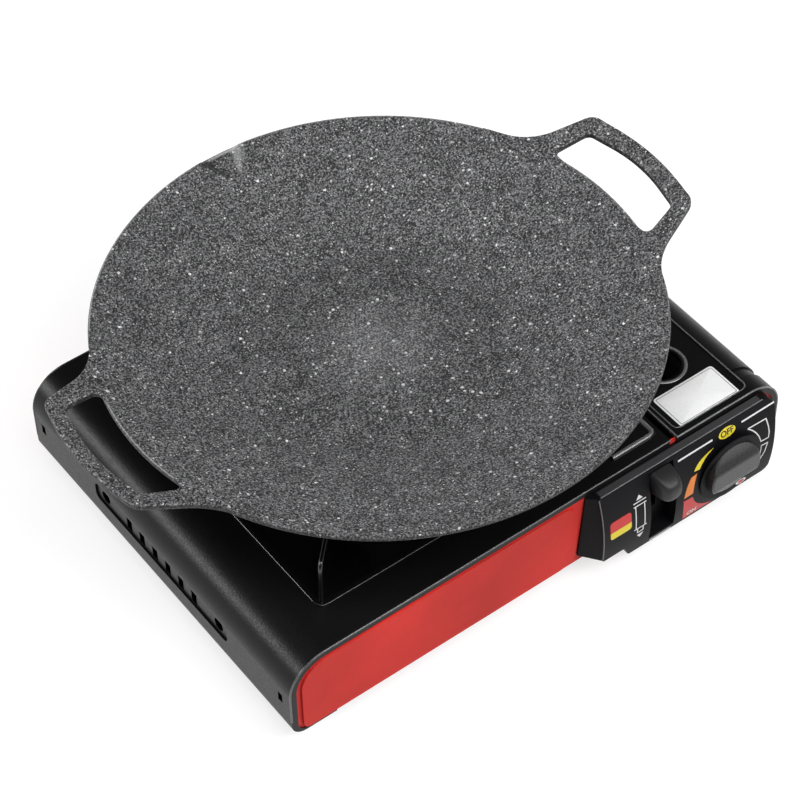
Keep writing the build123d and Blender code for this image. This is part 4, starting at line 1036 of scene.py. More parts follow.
@dataclass
class FlameKnob:
    """Round knob with a skirt and two scoops that leave a grip bar across it.

    The brim's shares give its rings: how far each lies from the grip to the skirt's edge, and how far it
    drops from the skirt's face to its back.
    """

    place: Triple = (128.5, -144.4, 35.0)
    skirt: float = 23.5
    skirt_depth: float = 0.9
    grip: float = 18.6
    top: float = 6.4
    edge: float = 1.2
    edge_share: float = 0.6
    wall_foot: float = 0.2
    lowest: float = 0.1
    scoop: float = 13.8
    scoop_out: float = 18.4
    scoop_up: float = 15.0
    soft: float = 0.7
    beyond_top: float = 9.0
    sides: int = 160
    face_rings: int = 70
    brim_shares: tuple[float, ...] = (0.0, 0.1, 0.3, 0.6, 0.84, 0.95, 1.0, 1.0, 0.97)
    brim_drop_shares: tuple[float, ...] = (0.08, 0.0, 0.0, 0.0, 0.06, 0.17, 0.36, 0.94, 1.0, 1.0)
    mark_place: Pair = (9.6, -19.2)
    mark_thick: float = 0.2
    mark_step: float = 0.05
    mark_size: Pair = (3.9, 1.8)
    dot_size: Pair = (2.5, 1.15)

    def face(self, across: Array) -> Array:
        """Height of the front face.

        The two scoops are round channels, scoop_up - sqrt(scoop^2 - (|z| - scoop_out)^2), and the face is
        the smooth minimum of them and the flat top.

        Args:
            across: Distance from the bar's middle.

        Returns:
            The height there.
        """
        away = np.abs(across)
        inside = np.clip(self.scoop**2 - (away - self.scoop_out) ** 2, 0.0, None)
        channel = self.scoop_up - np.sqrt(inside)
        channel = np.where(away < self.scoop_out - self.scoop, self.top + self.beyond_top, channel)
        return -self.soft * np.logaddexp(-channel / self.soft, -self.top / self.soft)

    def rings(self, turn: Array, radii: Sequence[Array], depths: Sequence[Array]) -> Array:
        """Points on rings about the knob's axis: (x + r cos t, y - depth, z + r sin t).

        Args:
            turn: Angles round the axis, as a row.
            radii: Groups of rings, each a column or a grid of radii.
            depths: The groups' distances in front of the knob's back, likewise.

        Returns:
            One row of points for each ring.
        """
        sizes = [(len(group), turn.size) for group in radii]
        radius, depth = (
            np.concatenate([np.broadcast_to(group, size) for group, size in zip(groups, sizes)])
            for groups in (radii, depths)
        )
        x = self.place[0] + radius * np.cos(turn)
        return np.stack([x, self.place[1] - depth, self.place[2] + radius * np.sin(turn)], -1)

    def grip_rings(self, turn: Array) -> Array:
        """Rings from the middle of the face out over its rounded edge and down the grip's wall.

        Args:
            turn: Angles round the axis, as a row.

        Returns:
            One row of points for each ring.
        """
        radius = (self.grip - self.edge) * np.linspace(0.0, 1.0, self.face_rings)[:, None]
        depth = self.face(radius * np.sin(turn))
        bend = np.linspace(0.0, 0.5 * np.pi, 9)[1:, None]
        edge_radius = self.grip - self.edge * (1 - np.sin(bend))
        edge_depth = self.face((self.grip - self.edge * self.edge_share) * np.sin(turn))
        fall = np.minimum(self.edge * (1 - np.cos(bend)), 0.5 * (edge_depth - self.skirt_depth))
        edge_depth = np.maximum(edge_depth - fall, self.skirt_depth + self.lowest)
        down = np.linspace(0.0, 1.0, 8)[1:, None]
        wall_radius = np.full_like(down, self.grip)
        wall_depth = edge_depth[-1:] * (1 - down) + (self.skirt_depth - self.wall_foot) * down
        return self.rings(turn, (radius, edge_radius, wall_radius), (depth, edge_depth, wall_depth))

    def skirt_rings(self, turn: Array) -> Array:
        """Rings from the grip's foot out over the brim and in again to the middle of the back.

        Args:
            turn: Angles round the axis, as a row.

        Returns:
            One row of points for each ring.
        """
        brim = self.grip + (self.skirt - self.grip) * np.array(self.brim_shares)[:, None]
        radius = np.concatenate([brim, [[0.0]]])
        depth = self.skirt_depth * (1 - np.array(self.brim_drop_shares)[:, None])
        return self.rings(turn, [radius], [depth])

    def mark(self, size: Pair, depth: float, finish: int) -> Patch:
        """A thin oval on the skirt: rings of share 0, 1, 1, 0 of the oval, the last two set back.

        Args:
            size: Half of the oval's width and height.
            depth: How far in front of the knob's back it lies.
            finish: Number of its finish.

        Returns:
            The oval as a patch.
        """
        share = np.array([0.0, 1.0, 1.0, 0.0])[:, None]
        back = self.mark_thick * np.array([0.0, 0.0, 1.0, 1.0])[:, None]
        turn = round_angles(32)[None, :]
        grid = np.broadcast_arrays(
            self.place[0] + self.mark_place[0] + share * size[0] * np.cos(turn),
            self.place[1] - depth + back,
            self.place[2] + self.mark_place[1] + share * size[1] * np.sin(turn),
        )
        return Patch(np.stack(grid, -1), wrap_columns=True, finish=finish)

    def build(self) -> None:
        """Makes the knob from its grip's and its skirt's rings, and its mark of two ovals."""
        turn = round_angles(self.sides)[None, :]
        grip = self.grip_rings(turn)
        skirt = np.concatenate([grip[-1:], self.skirt_rings(turn)])
        patches = [Patch(grip, wrap_columns=True), Patch(skirt, wrap_columns=True, finish=1)]
        knob = make_piece("flame_knob", patches, [KNOB_PLASTIC, BRIM_PLASTIC], "knob", 55.0)
        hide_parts("control_knob")
        oval = self.mark(self.mark_size, self.skirt_depth + self.mark_step, 0)
        dot = self.mark(self.dot_size, self.skirt_depth + 2 * self.mark_step, 1)
        make_piece("flame_knob_mark", [oval, dot], [WHITE_INK, RED_INK], "knob")


@dataclass
class LeverButton:
    """Bulbous push button of the lock lever."""

    middle: Pair = (78.0, 56.0)
    back: float = -138.2
    front: float = -153.0
    half_width: float = 8.0
    half_height: float = 8.0
    droop: float = 1.6
    square_back: float = 7.0
    round_nose: float = 2.6
    width_taper: float = 0.1
    height_taper: float = 0.12
    crowding: float = 0.7

    def build(self) -> None:
        """Makes the button as power-curve sections that shrink and droop towards the nose.

        Section: x = w |cos a|^(2/n), z = h |sin a|^(2/n), with n falling from the square back to the round
        nose, and w and h fall as (1 - t^4)^(1/4) along the way t from back to front.
        """
        way = np.concatenate([[0.0], np.linspace(0.0, 1.0, 40) ** self.crowding])[:, None]
        angle = round_angles(64)[None, :]
        power = 2 / (self.square_back - (self.square_back - self.round_nose) * way)
        size = np.clip(1 - way**4, 0.0, None) ** 0.25
        size[0] = 0.0
        width = self.half_width * size * (1 - self.width_taper * way)
        height = self.half_height * size * (1 - self.height_taper * way)
        across = np.sign(np.cos(angle)) * np.abs(np.cos(angle)) ** power
        upward = np.sign(np.sin(angle)) * np.abs(np.sin(angle)) ** power
        grid = np.stack(np.broadcast_arrays(
            self.middle[0] + width * across,
            self.back + (self.front - self.back) * way,
            self.middle[1] - self.droop * way**2 + height * upward,
        ), -1)
        button = make_piece("lock_lever_button", [Patch(grid, wrap_columns=True)], [BUTTON_PLASTIC],
                            "lock_lever", 50.0)
        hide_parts("lever_button")


@dataclass
class FasciaPrint:
    """Marks that are printed on the bowed face of the fascia, and its thin trim.

    Places on the face are x and z. A wedge of the flame scale is two runs of three points.
    """

    body_front: float = -131.0
    bow_radius: float = 116.818
    bow_back: float = 103.519
    bow_height: float = 26.655
    proud: float = 0.06
    sunk: float = 0.3
    line_width: float = 1.1
    outline_width: float = 0.8
    sign_width: float = 0.7
    over_knob: tuple[tuple[Pair, Pair], ...] = (((90.7, 61.5), (116.9, 61.7)), ((139.3, 61.8), (164.6, 62.0)))
    under_lever: tuple[Pair, Pair] = ((69.6, 9.9), (86.0, 9.9))
    knob_axis: Pair = (128.5, 35.0)
    window_radius: float = 24.6
    upper_turn: Pair = (53.5, 10.4)
    upper_window: tuple[Pair, ...] = ((158.7, 39.0), (159.3, 43.0), (158.9, 47.2), (157.4, 54.3))
    lower_turn: Pair = (1.6, -16.0)
    lower_window: tuple[Pair, ...] = ((152.8, 23.2), (156.4, 28.7), (158.3, 35.2))
    scale_wedges: tuple[tuple[tuple[Pair, ...], tuple[Pair, ...]], ...] = (
        (((101.3, 47.8), (107.0, 53.3), (117.0, 56.2)), ((105.6, 47.2), (110.6, 52.7), (117.0, 56.0))),
        (((93.6, 30.7), (95.7, 38.6), (99.1, 44.7)), ((100.4, 30.9), (101.6, 39.1), (103.5, 45.2))),
        (((94.8, 10.6), (94.0, 20.0), (93.5, 28.4)), ((117.8, 10.6), (106.0, 17.6), (100.6, 27.7))),
    )
    off_place: Pair = (128.0, 61.0)
    off_size: Pair = (6.4, 3.4)
    off_word_place: Pair = (128.0, 60.9)
    off_word_height: float = 4.0
    on_word_place: Pair = (101.2, 13.6)
    on_word_height: float = 3.4
    capital_share: float = 0.72
    bold_share: float = 0.035
    sign_x: float = 60.5
    sign_low: float = 30.0
    sign_high: float = 48.4
    sign_half: float = 3.3
    cap_half: float = 4.7
    cap_gap: float = 2.6
    neck_half: float = 2.1
    neck_length: float = 3.6
    arrow_half: float = 2.4
    arrow_length: float = 3.0
    tip_half: float = 0.1
    upper_arrow_gap: float = 1.6
    lower_arrow_gap: float = 2.2
    sticker_sides: Pair = (38.2, 53.8)
    sticker_ends: Pair = (33.8, 47.2)
    sticker_split: float = 39.2
    sticker_corner: float = 2.0
    cheek_levels: Pair = (18.4, 66.6)
    cheek_foot: Pair = (24.8, 20.0)
    cheek_lean: float = 3.4 / 46.0
    cheek_sides: Pair = (33.2, 34.2)
    cheek_panel: Pair = (-130.3, -131.6)
    cheek_radii: tuple[float, ...] = (0.3, 0.3, 0.3, 0.5, 0.5)
    cheek_sunk: float = 1.0
    top_edge: tuple[Pair, float, float] = ((35.0, 157.0), -136.45, 66.95)
    top_edge_radius: float = 0.5
    left_edge: tuple[float, Pair] = (33.5, (19.0, 66.4))
    left_edge_sunk: float = 0.35
    left_edge_radius: float = 0.4
    top_strip: tuple[Pair, Pair, Pair] = ((35.6, 156.0), (-136.3, -132.0), (67.0, 67.36))
    # Painted shade: a black band where the gap behind the lid's edge lies in shade.
    gap_shade_band: tuple[Pair, Pair, Pair] = ((84.0, 158.0), (-130.27, -129.9), (59.0, 67.5))

    def on_face(self, x: Array | float, z: Array | float, proud: float) -> Array:
        """Points on the fascia: y = front + back - sqrt(R^2 - (z - middle)^2) - proud.

        Args:
            x: Places along the front.
            z: Heights.
            proud: How far the points stand out of the face.

        Returns:
            Points in space.
        """
        x, z = np.broadcast_arrays(x, z)
        bow = np.sqrt(self.bow_radius**2 - (z - self.bow_height) ** 2)
        return np.stack([x, self.body_front + self.bow_back - bow - proud, z], -1)

    def band(self, first: Array, second: Array, finish: int = 0) -> Patch:
        """Thin printed band between two runs of points.

        The front face goes from the first run to the second, the back face returns, and both ends are
        pinched shut.

        Args:
            first: Run along one side of the band.
            second: Run along its other side, with as many points.
            finish: Number of its finish.

        Returns:
            The band as a patch.
        """
        share = np.linspace(0.0, 1.0, 7)[None, :, None]
        flat = first[:, None] * (1 - share) + second[:, None] * share
        front = self.on_face(flat[..., 0], flat[..., 1], self.proud)
        back = self.on_face(flat[..., 0], flat[..., 1], -self.sunk)
        sheet = np.concatenate([front, back[:, ::-1]], 1)
        ends = np.concatenate([back, back[:, ::-1]], 1)
        return Patch(np.concatenate([ends[:1], sheet, ends[-1:]]), wrap_columns=True, finish=finish)

    def stroke(self, points: Sequence[Pair], width: float, closed: bool = False) -> Patch:
        """A line along a run of points, as the band between its two sides.

        Args:
            points: The run.
            width: Width of the line.
            closed: Whether the last point joins the first.

        Returns:
            The line as a patch.
        """
        run = np.array([*points, points[0]] if closed else points, float)
        path = even_path(run, 12 * len(run))
        along = np.gradient(path, axis=0)
        along /= np.linalg.norm(along, axis=1)[:, None]
        side = np.stack([-along[:, 1], along[:, 0]], -1) * width / 2
        return self.band(path + side, path - side)

    def wedge(self, inner: Sequence[Pair], outer: Sequence[Pair], finish: int = 0) -> Patch:
        """A filled mark between two runs of points, each a smooth curve through its three points.

        A curve is (1 - s)^2 * start + 2 s (1 - s) * control + s^2 * end, and the control point is placed so
        that the curve's middle lies on the middle point.

        Args:
            inner: Start, middle and end of the first run.
            outer: Start, middle and end of the second run.
            finish: Number of its finish.

        Returns:
            The mark as a patch.
        """
        share = np.linspace(0.0, 1.0, 24)[:, None]
        runs = []
        for start, middle, end in (np.array(inner), np.array(outer)):
            control = 2 * middle - (start + end) / 2
            runs.append((1 - share) ** 2 * start + 2 * share * (1 - share) * control + share**2 * end)
        return self.band(runs[0], runs[1], finish)

    def oval(self, centre: Pair, size: Pair) -> Patch:
        """A filled oval, as the band between its lower and upper halves.

        Args:
            centre: Its middle.
            size: Half of its width and height.

        Returns:
            The oval as a patch.
        """
        angle = np.linspace(0.0, np.pi, 40)
        x = centre[0] - size[0] * np.cos(angle)
        low, high = (np.stack([x, centre[1] + side * size[1] * np.sin(angle)], -1) for side in (-1, 1))
        return self.band(low, high)

    def word(self, name: str, text: str, centre: Pair, height: float, finish: Finish) -> None:
        """A short word such as ON, made from a text outline and bent onto the face.

        Args:
            name: Name of the piece.
            text: Letters to print.
            centre: Middle of the word as x and z.
            height: Height of its capitals.
            finish: Ink that it is printed in.
        """
        curve = bpy.data.curves.new(name + "_outline", "FONT")
        curve.body = text
        curve.align_x = "CENTER"
        curve.align_y = "CENTER"
        curve.size = height / self.capital_share
        curve.offset = self.bold_share * height
        outline = put_in_scene(name + "_outline", curve)
        bpy.context.view_layer.update()
        mesh = bpy.data.meshes.new_from_object(outline.evaluated_get(bpy.context.evaluated_depsgraph_get()))
        mesh.name = name
        bpy.data.objects.remove(outline)
        flat = np.zeros(len(mesh.vertices) * 3)
        mesh.vertices.foreach_get("co", flat)
        flat = flat.reshape(-1, 3)
        points = self.on_face(centre[0] + flat[:, 0], centre[1] + flat[:, 1], 2 * self.proud) * MM
        mesh.vertices.foreach_set("co", points.ravel())
        shape = bmesh.new()
        shape.from_mesh(mesh)
        bmesh.ops.remove_doubles(shape, verts=shape.verts, dist=SHORTEST_EDGE)
        bmesh.ops.triangulate(shape, faces=shape.faces)
        shape.normal_update()
        turned = [face for face in shape.faces if face.normal.y > 0]
        bmesh.ops.reverse_faces(shape, faces=turned)
        shape.to_mesh(mesh)
        shape.free()
        mesh.materials.clear()
        mesh.materials.append(finish.material())
        piece = put_in_scene(name, mesh)
        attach(piece, "stove")
        LOG.info("%s: %d faces on stove", name, len(mesh.polygons))

    def arc(self, turns: Pair) -> list[Pair]:
        """Points round the knob's axis along a window's inner edge.

        Args:
            turns: First and last angle in degrees.

        Returns:
            Points on the face.
        """
        turn = np.radians(np.linspace(*turns, 9))
        edge = self.window_radius * np.stack([np.cos(turn), np.sin(turn)], -1)
        return list(np.array(self.knob_axis) + edge)

    def slab(self, x: Pair, y: Pair, z: Pair) -> Patch:
        """A thin flat block: rings of its outline at both ends of x, closed at the middle of each end.

        Args:
            x: Both ends along the front.
            y: Its front and back.
            z: Its foot and top.

        Returns:
            The block as a patch.
        """
        ring = np.array([(y[0], z[0]), (y[1], z[0]), (y[1], z[1]), (y[0], z[1])])
        middle = np.tile(ring.mean(0), (4, 1))
        rows = [(x[0], middle), (x[0], ring), (x[1], ring), (x[1], middle)]
        grid = np.stack([np.concatenate([np.full((4, 1), at), run], 1) for at, run in rows])
        return Patch(grid, wrap_columns=True)

    def lines(self) -> None:
        """Two lines over the knob, two window outlines beside it and a line under the lever's channel."""
        windows = ((self.upper_turn, self.upper_window), (self.lower_turn, self.lower_window))
        white = [self.stroke(line, self.line_width) for line in self.over_knob]
        white += [self.stroke([*self.arc(turns), *rest], self.outline_width, True) for turns, rest in windows]
        white.append(self.stroke(self.under_lever, self.outline_width))
        make_piece("fascia_white_marks", white, [WHITE_INK], "stove")

    def scale(self) -> None:
        """The flame scale from low to full, and the words at both of its ends."""
        wedges = [self.wedge(*runs, number) for number, runs in enumerate(self.scale_wedges)]
        make_piece("fascia_flame_scale", wedges, [YELLOW_INK, ORANGE_INK, RED_INK], "stove")
        oval = self.oval(self.off_place, self.off_size)
        make_piece("fascia_off_mark", [oval], [YELLOW_INK], "stove")
        self.word("fascia_off_word", "OFF", self.off_word_place, self.off_word_height, BLACK_INK)
        self.word("fascia_on_word", "ON", self.on_word_place, self.on_word_height, WHITE_INK)

    def arrow(self, base: float, tip: float) -> Patch:
        """A filled arrow head on the middle line of the cartridge sign.

        Args:
            base: Height of its base.
            tip: Height of its tip.

        Returns:
            The arrow head as a patch.
        """
        ends = ((self.arrow_half, base), (self.tip_half, tip))
        return self.wedge(*[[(self.sign_x + side * half, z) for side in (-1, 0, 1)] for half, z in ends])

    def sign(self) -> None:
        """Outline of a gas cartridge with caps, a neck and an arrow at either end."""
        x, low, high = self.sign_x, self.sign_low, self.sign_high
        cap, neck = high + self.cap_gap, low - self.neck_length
        upper, lower = cap + self.upper_arrow_gap, neck - self.lower_arrow_gap
        left, right = x - self.neck_half, x + self.neck_half
        runs = [[(x + side * self.sign_half, low), (x + side * self.sign_half, high)] for side in (-1, 1)]
        runs += [[(x - self.cap_half, level), (x + self.cap_half, level)] for level in (high, cap, low)]
        runs.append([(left, low), (left, neck), (right, neck), (right, low)])
        patches = [self.stroke(run, self.sign_width) for run in runs]
        patches.append(self.arrow(upper, upper + self.arrow_length))
        patches.append(self.arrow(lower, lower - self.arrow_length))
        make_piece("fascia_cartridge_sign", patches, [WHITE_INK], "stove")

    def sticker(self) -> None:
        """A blank two-colour sticker: each half is the band between its left and right sides."""
        left, right = self.sticker_sides
        low, high = self.sticker_ends
        split, corner = self.sticker_split, self.sticker_corner
        bottoms = np.concatenate([np.linspace(low, low + corner, 8), np.linspace(low + corner, split, 6)[1:]])
        tops = np.concatenate([np.linspace(split, high - corner, 8), np.linspace(high - corner, high, 8)[1:]])
        patches = []
        for run, finish in ((bottoms, 1), (tops, 0)):
            near = np.clip(np.maximum(low + corner - run, run - high + corner), 0.0, corner)
            inset = corner - np.sqrt(np.clip(corner**2 - near**2, 0.0, None))
            sides = (np.stack([left + inset, run], -1), np.stack([right - inset, run], -1))
            patches.append(self.band(*sides, finish))
        make_piece("fascia_blank_sticker", patches, [RED_INK, YELLOW_INK], "stove")

    def cheek(self) -> None:
        """The left end of the fascia, which widens towards the panel.

        Each level z is a rounded outline between the panel at x = foot + lean * (z - foot's height), the
        panel at the fascia's own end and the edge of its bowed face.
        """
        levels = np.linspace(*self.cheek_levels, 20)
        start, foot = self.cheek_foot
        face, end = self.cheek_sides
        panel, root = self.cheek_panel
        rings = []
        for z in levels:
            left = start + self.cheek_lean * (z - foot)
            front = float(self.on_face(face, z, -self.cheek_sunk)[1])
            corners = [(left, panel), (end, panel), (end, front), (face, front), (left, root)]
            rings.append(rounded_run(corners, self.cheek_radii, True, 4))
        first, last = (np.tile(ring.mean(0), (len(ring), 1)) for ring in (rings[0], rings[-1]))
        heights = [levels[0], *levels, levels[-1]]
        grid = np.stack([at_height(ring, z) for ring, z in zip([first, *rings, last], heights)])
        cheek = Patch(grid, wrap_columns=True)
        make_piece("fascia_left_cheek", [cheek], [FASCIA_PLASTIC], "stove")

    def edges(self) -> None:
        """Fine edges painted light as highlight lines: one along the front of the fascia's top and one down
        its left end.
        """
        ends, y, z = self.top_edge
        top = np.linspace((ends[0], y, z), (ends[1], y, z), 40)
        x, levels = self.left_edge
        left = self.on_face(x, np.linspace(*levels, 40), -self.left_edge_sunk)
        lines = ((top, self.top_edge_radius), (left, self.left_edge_radius))
        beads = [carried_round(line, radius, False) for line, radius in lines]
        # Painted highlight: light grey beads along the fascia's edges.
        make_piece("fascia_fine_edges", beads, [FASCIA_EDGE], "stove")

    def strips(self) -> None:
        """The satin strip on the fascia's top, and a black band of painted shade on the panel behind the
        lid's edge.
        """
        make_piece("fascia_top_strip", [self.slab(*self.top_strip)], [FASCIA_TOP], "stove")
        # Painted shade: a black band on the red panel, where the gap behind the lid's edge lies in shade.
        make_piece("panel_gap_shade", [self.slab(*self.gap_shade_band)], [BLACK_PAINT], "stove")

    def build(self) -> None:
        """Prints the marks and adds the trim."""
        self.lines()
        self.scale()
        self.sign()
        self.sticker()
        self.cheek()
        self.edges()
        self.strips()


@dataclass
class LidLabel:
    """Bare white plate in the sunk top of the lid, with a thin printed border."""

    low: Pair = (103.6, -126.3)
    high: Pair = (148.6, -100.6)
    level: float = 70.9
    thick: float = 0.25
    sunk: float = 0.2
    corner: float = 2.0
    least_corner: float = 0.4
    bevel: Pair = (0.15, 0.1)
    border: Pair = (1.2, 1.6)
    border_sunk: float = 0.05
    border_proud: float = 0.04

    def ring(self, inset: float | None) -> Array:
        """Rounded outline of the plate, drawn in.

        Args:
            inset: How far it is drawn in, or None for the middle point.

        Returns:
            Points in plan.
        """
        (x0, y0), (x1, y1) = self.low, self.high
        draw = inset or 0.0
        x0, y0, x1, y1 = x0 + draw, y0 + draw, x1 - draw, y1 - draw
        radius = max(self.least_corner, self.corner - draw)
        ring = rounded_run([(x0, y0), (x1, y0), (x1, y1), (x0, y1)], [radius] * 4, True)
        middle = ((x0 + x1) / 2, (y0 + y1) / 2)
        return np.tile(middle, (len(ring), 1)) if inset is None else ring

    def layers(self, rows: Sequence[tuple[float | None, float]], wrap: bool, finish: int) -> Patch:
        """Rings of the outline, one above the other.

        Args:
            rows: Inset and height of each ring.
            wrap: Whether the last ring joins the first.
            finish: Number of the finish.

        Returns:
            The rings as a patch.
        """
        grid = np.stack([at_height(self.ring(inset), z) for inset, z in rows])
        return Patch(grid, wrap_rows=wrap, wrap_columns=True, finish=finish)

    def build(self) -> None:
        """Makes the plate and its border line."""
        low, high = self.level - self.sunk, self.level + self.thick
        inset, drop = self.bevel
        rows = [(None, low), (0.0, low), (0.0, high - drop), (inset, high), (None, high)]
        plate = self.layers(rows, False, 0)
        outer, inner = self.border
        foot, top = high - self.border_sunk, high + self.border_proud
        line = self.layers([(outer, foot), (outer, top), (inner, top), (inner, foot)], True, 1)
        make_piece("lid_label", [plate, line], [CARD, GREY_INK], "lid")


@dataclass
class PressedEdges:
    """Rolled edges of the pressed sheet pieces: shell, lid and pan support."""

    left: float = -176.0
    right: float = 176.0
    shell_right: float = 91.6
    lid_left: float = 95.4
    front: float = -131.0
    lid_front: float = -131.4
    low: float = 12.0
    high: float = 72.0
    shoulder: float = 24.0
    skirt: float = 14.0
    bead: float = 0.6
    bead_sunk: float = 0.25
    bead_back: float = 0.3
    rib_inset: Pair = (4.5, 9.9)
    rib_lengths: Pair = (31.0, 59.0)
    rib_bend: float = 3.0
    rib_radius: float = 1.75
    rib_proud: float = 0.1
    fold_inset: Pair = (0.9, 0.8)
    fold_half: float = 130.6
    fold_radius: float = 0.95
    recess_inset: Triple = (3.9, 22.0, 4.5)
    recess_corner: float = 3.5
    recess_drop: float = 0.35
    recess_bead: float = 0.5
    finger_hole: Triple = (125.5, -82.8, 14.6)
    finger_drop: float = 0.95
    finger_bead: float = 1.35
    burner: float = -31.0
    tray: float = 107.0
    tray_inset: float = 0.2
    tray_corner: float = 4.0
    tray_level: float = 72.75
    tray_bead: float = 0.55
    fin_inset: float = 3.0
    fin_outer: tuple[Pair, ...] = ((0.0, 73.0), (-2.5, 99.0), (-5.5, 101.7))
    fin_inner: tuple[Pair, ...] = ((66.0, 101.7), (58.3, 97.0), (58.3, 92.0))
    fin_radii: tuple[float, ...] = (0, 2.0, 2.0, 3.0, 2.0, 0)
    fin_bead: float = 1.3

    def end_beads(self, corners: Sequence[Pair], count: int, end: float) -> list[Patch]:
        """Round beads along the front and rear edges of a bent sheet.

        Args:
            corners: Three corners of the sheet's section, as x and z; the middle one is the shoulder.
            count: Points along each bead.
            end: Distance of both beads from the stove's middle.

        Returns:
            The front and the rear bead.
        """
        path = even_path(rounded_run(corners, [0, self.shoulder, 0], samples=24), count)
        lines = [np.stack([path[:, 0], np.full(count, side * end), path[:, 1]], -1) for side in (-1, 1)]
        return [carried_round(line, self.bead, False) for line in lines]

    def closed_line(self, low: Pair, high: Pair, corner: float, count: int, level: float) -> Array:
        """Evenly spaced points round a rectangle with rounded corners.

        Args:
            low: Its corner with the least x and y.
            high: Its corner with the greatest x and y.
            corner: Radius of its corners.
            count: Points along it, with its start counted twice.
            level: Its height.

        Returns:
            Points in space.
        """
        (x0, y0), (x1, y1) = low, high
        ring = rounded_run([(x0, y0), (x1, y0), (x1, y1), (x0, y1)], [corner] * 4, True)
        run = np.concatenate([ring, [[x0, y0 + corner]]])
        return at_height(even_path(run, count)[:-1], level)

    def shell(self) -> None:
        """Round beads along the front and rear edges of the upper shell."""
        left, top = self.left + self.bead_sunk, self.high - self.bead_sunk
        corners = [(left, self.low + self.skirt), (left, top), (self.shell_right - self.bead_back, top)]
        beads = self.end_beads(corners, 90, -self.front - self.bead_back)
        # Painted highlight: the beads take a lighter paint, so they show as light lines.
        make_piece("shell_rolled_edges", beads, [SHELL_EDGE_PAINT], "stove")

    def ribs(self) -> None:
        """Round crowns on the two corner ribs of the shell, carried along their bent middle lines."""
        x, y = self.shell_right - self.rib_inset[0], self.front + self.rib_inset[1]
        across, along = self.rib_lengths
        patches = []
        for side in (1, -1):
            corners = [(x - across, side * y), (x, side * y), (x, side * (y + along))]
            path = even_path(rounded_run(corners, [0, self.rib_bend, 0], samples=9), 60)
            line = at_height(path, self.high + self.rib_proud)
            patches.append(carried_round(line, self.rib_radius, False, 20))
        # Painted highlight: the crowns take a lighter paint, so they show as light lines.
        make_piece("shell_rib_crowns", patches, [EDGE_PAINT], "stove")

    def lid(self) -> None:
        """Round beads along the front and rear edges of the lid, and a round fold along its left edge."""
        right, top = self.right - self.bead_sunk, self.high - self.bead_sunk
        corners = [(self.lid_left + self.bead_back, top), (right, top), (right, self.low + self.skirt)]
        beads = self.end_beads(corners, 70, -self.lid_front - self.bead_back)
        x, z = self.lid_left + self.fold_inset[0], self.high - self.fold_inset[1]
        fold = np.linspace((x, -self.fold_half, z), (x, self.fold_half, z), 24)
        beads.append(carried_round(fold, self.fold_radius, False, 16))
        # Painted highlight: the beads take a lighter paint, so they show as light lines.
        make_piece("lid_rolled_edges", beads, [EDGE_PAINT], "lid")

    def recess(self) -> None:
        """A fine bead round the sunk middle of the lid, and a round ring about the finger hole."""
        from_left, from_right, from_end = self.recess_inset
        x0, x1, y = self.lid_left + from_left, self.right - from_right, -self.front - from_end
        line = self.closed_line((x0, -y), (x1, y), self.recess_corner, 220, self.high - self.recess_drop)
        x, y, radius = self.finger_hole
        turn = round_angles(72)
        ring = np.stack([x + radius * np.cos(turn), y + radius * np.sin(turn)], -1)
        ring = at_height(ring, self.high - self.finger_drop)
        beads = [carried_round(line, self.recess_bead, True), carried_round(ring, self.finger_bead, True, 16)]
        # Painted highlight: the beads take a lighter paint, so they show as light lines.
        make_piece("lid_recess_beads", beads, [EDGE_PAINT], "lid")

    def support(self) -> None:
        """A round bead along the tray's rim and one round the edge of each fin."""
        half = self.tray - self.tray_inset
        low, high = (self.burner - half, -half), (self.burner + half, half)
        line = self.closed_line(low, high, self.tray_corner, 200, self.tray_level)
        rim = carried_round(line, self.tray_bead, True)
        make_piece("tray_rim_bead", [rim], [ENAMEL], "support")
        outer = np.sqrt(2) * (self.tray - self.fin_inset)
        corners = [(outer + reach, z) for reach, z in self.fin_outer] + list(self.fin_inner)
        path = even_path(rounded_run(corners, self.fin_radii, samples=6), 80)
        reach, z = path[:, 0], path[:, 1]
        patches = []
        for angle in np.radians([45, 135, 225, 315]):
            line = np.stack([self.burner + reach * np.cos(angle), reach * np.sin(angle), z], -1)
            patches.append(carried_round(line, self.fin_bead, False))
        make_piece("fin_edge_beads", patches, [ENAMEL], "support")

    def build(self) -> None:
        """Makes all the rolled edges."""
        self.shell()
        self.ribs()
        self.lid()
        self.recess()
        self.support()


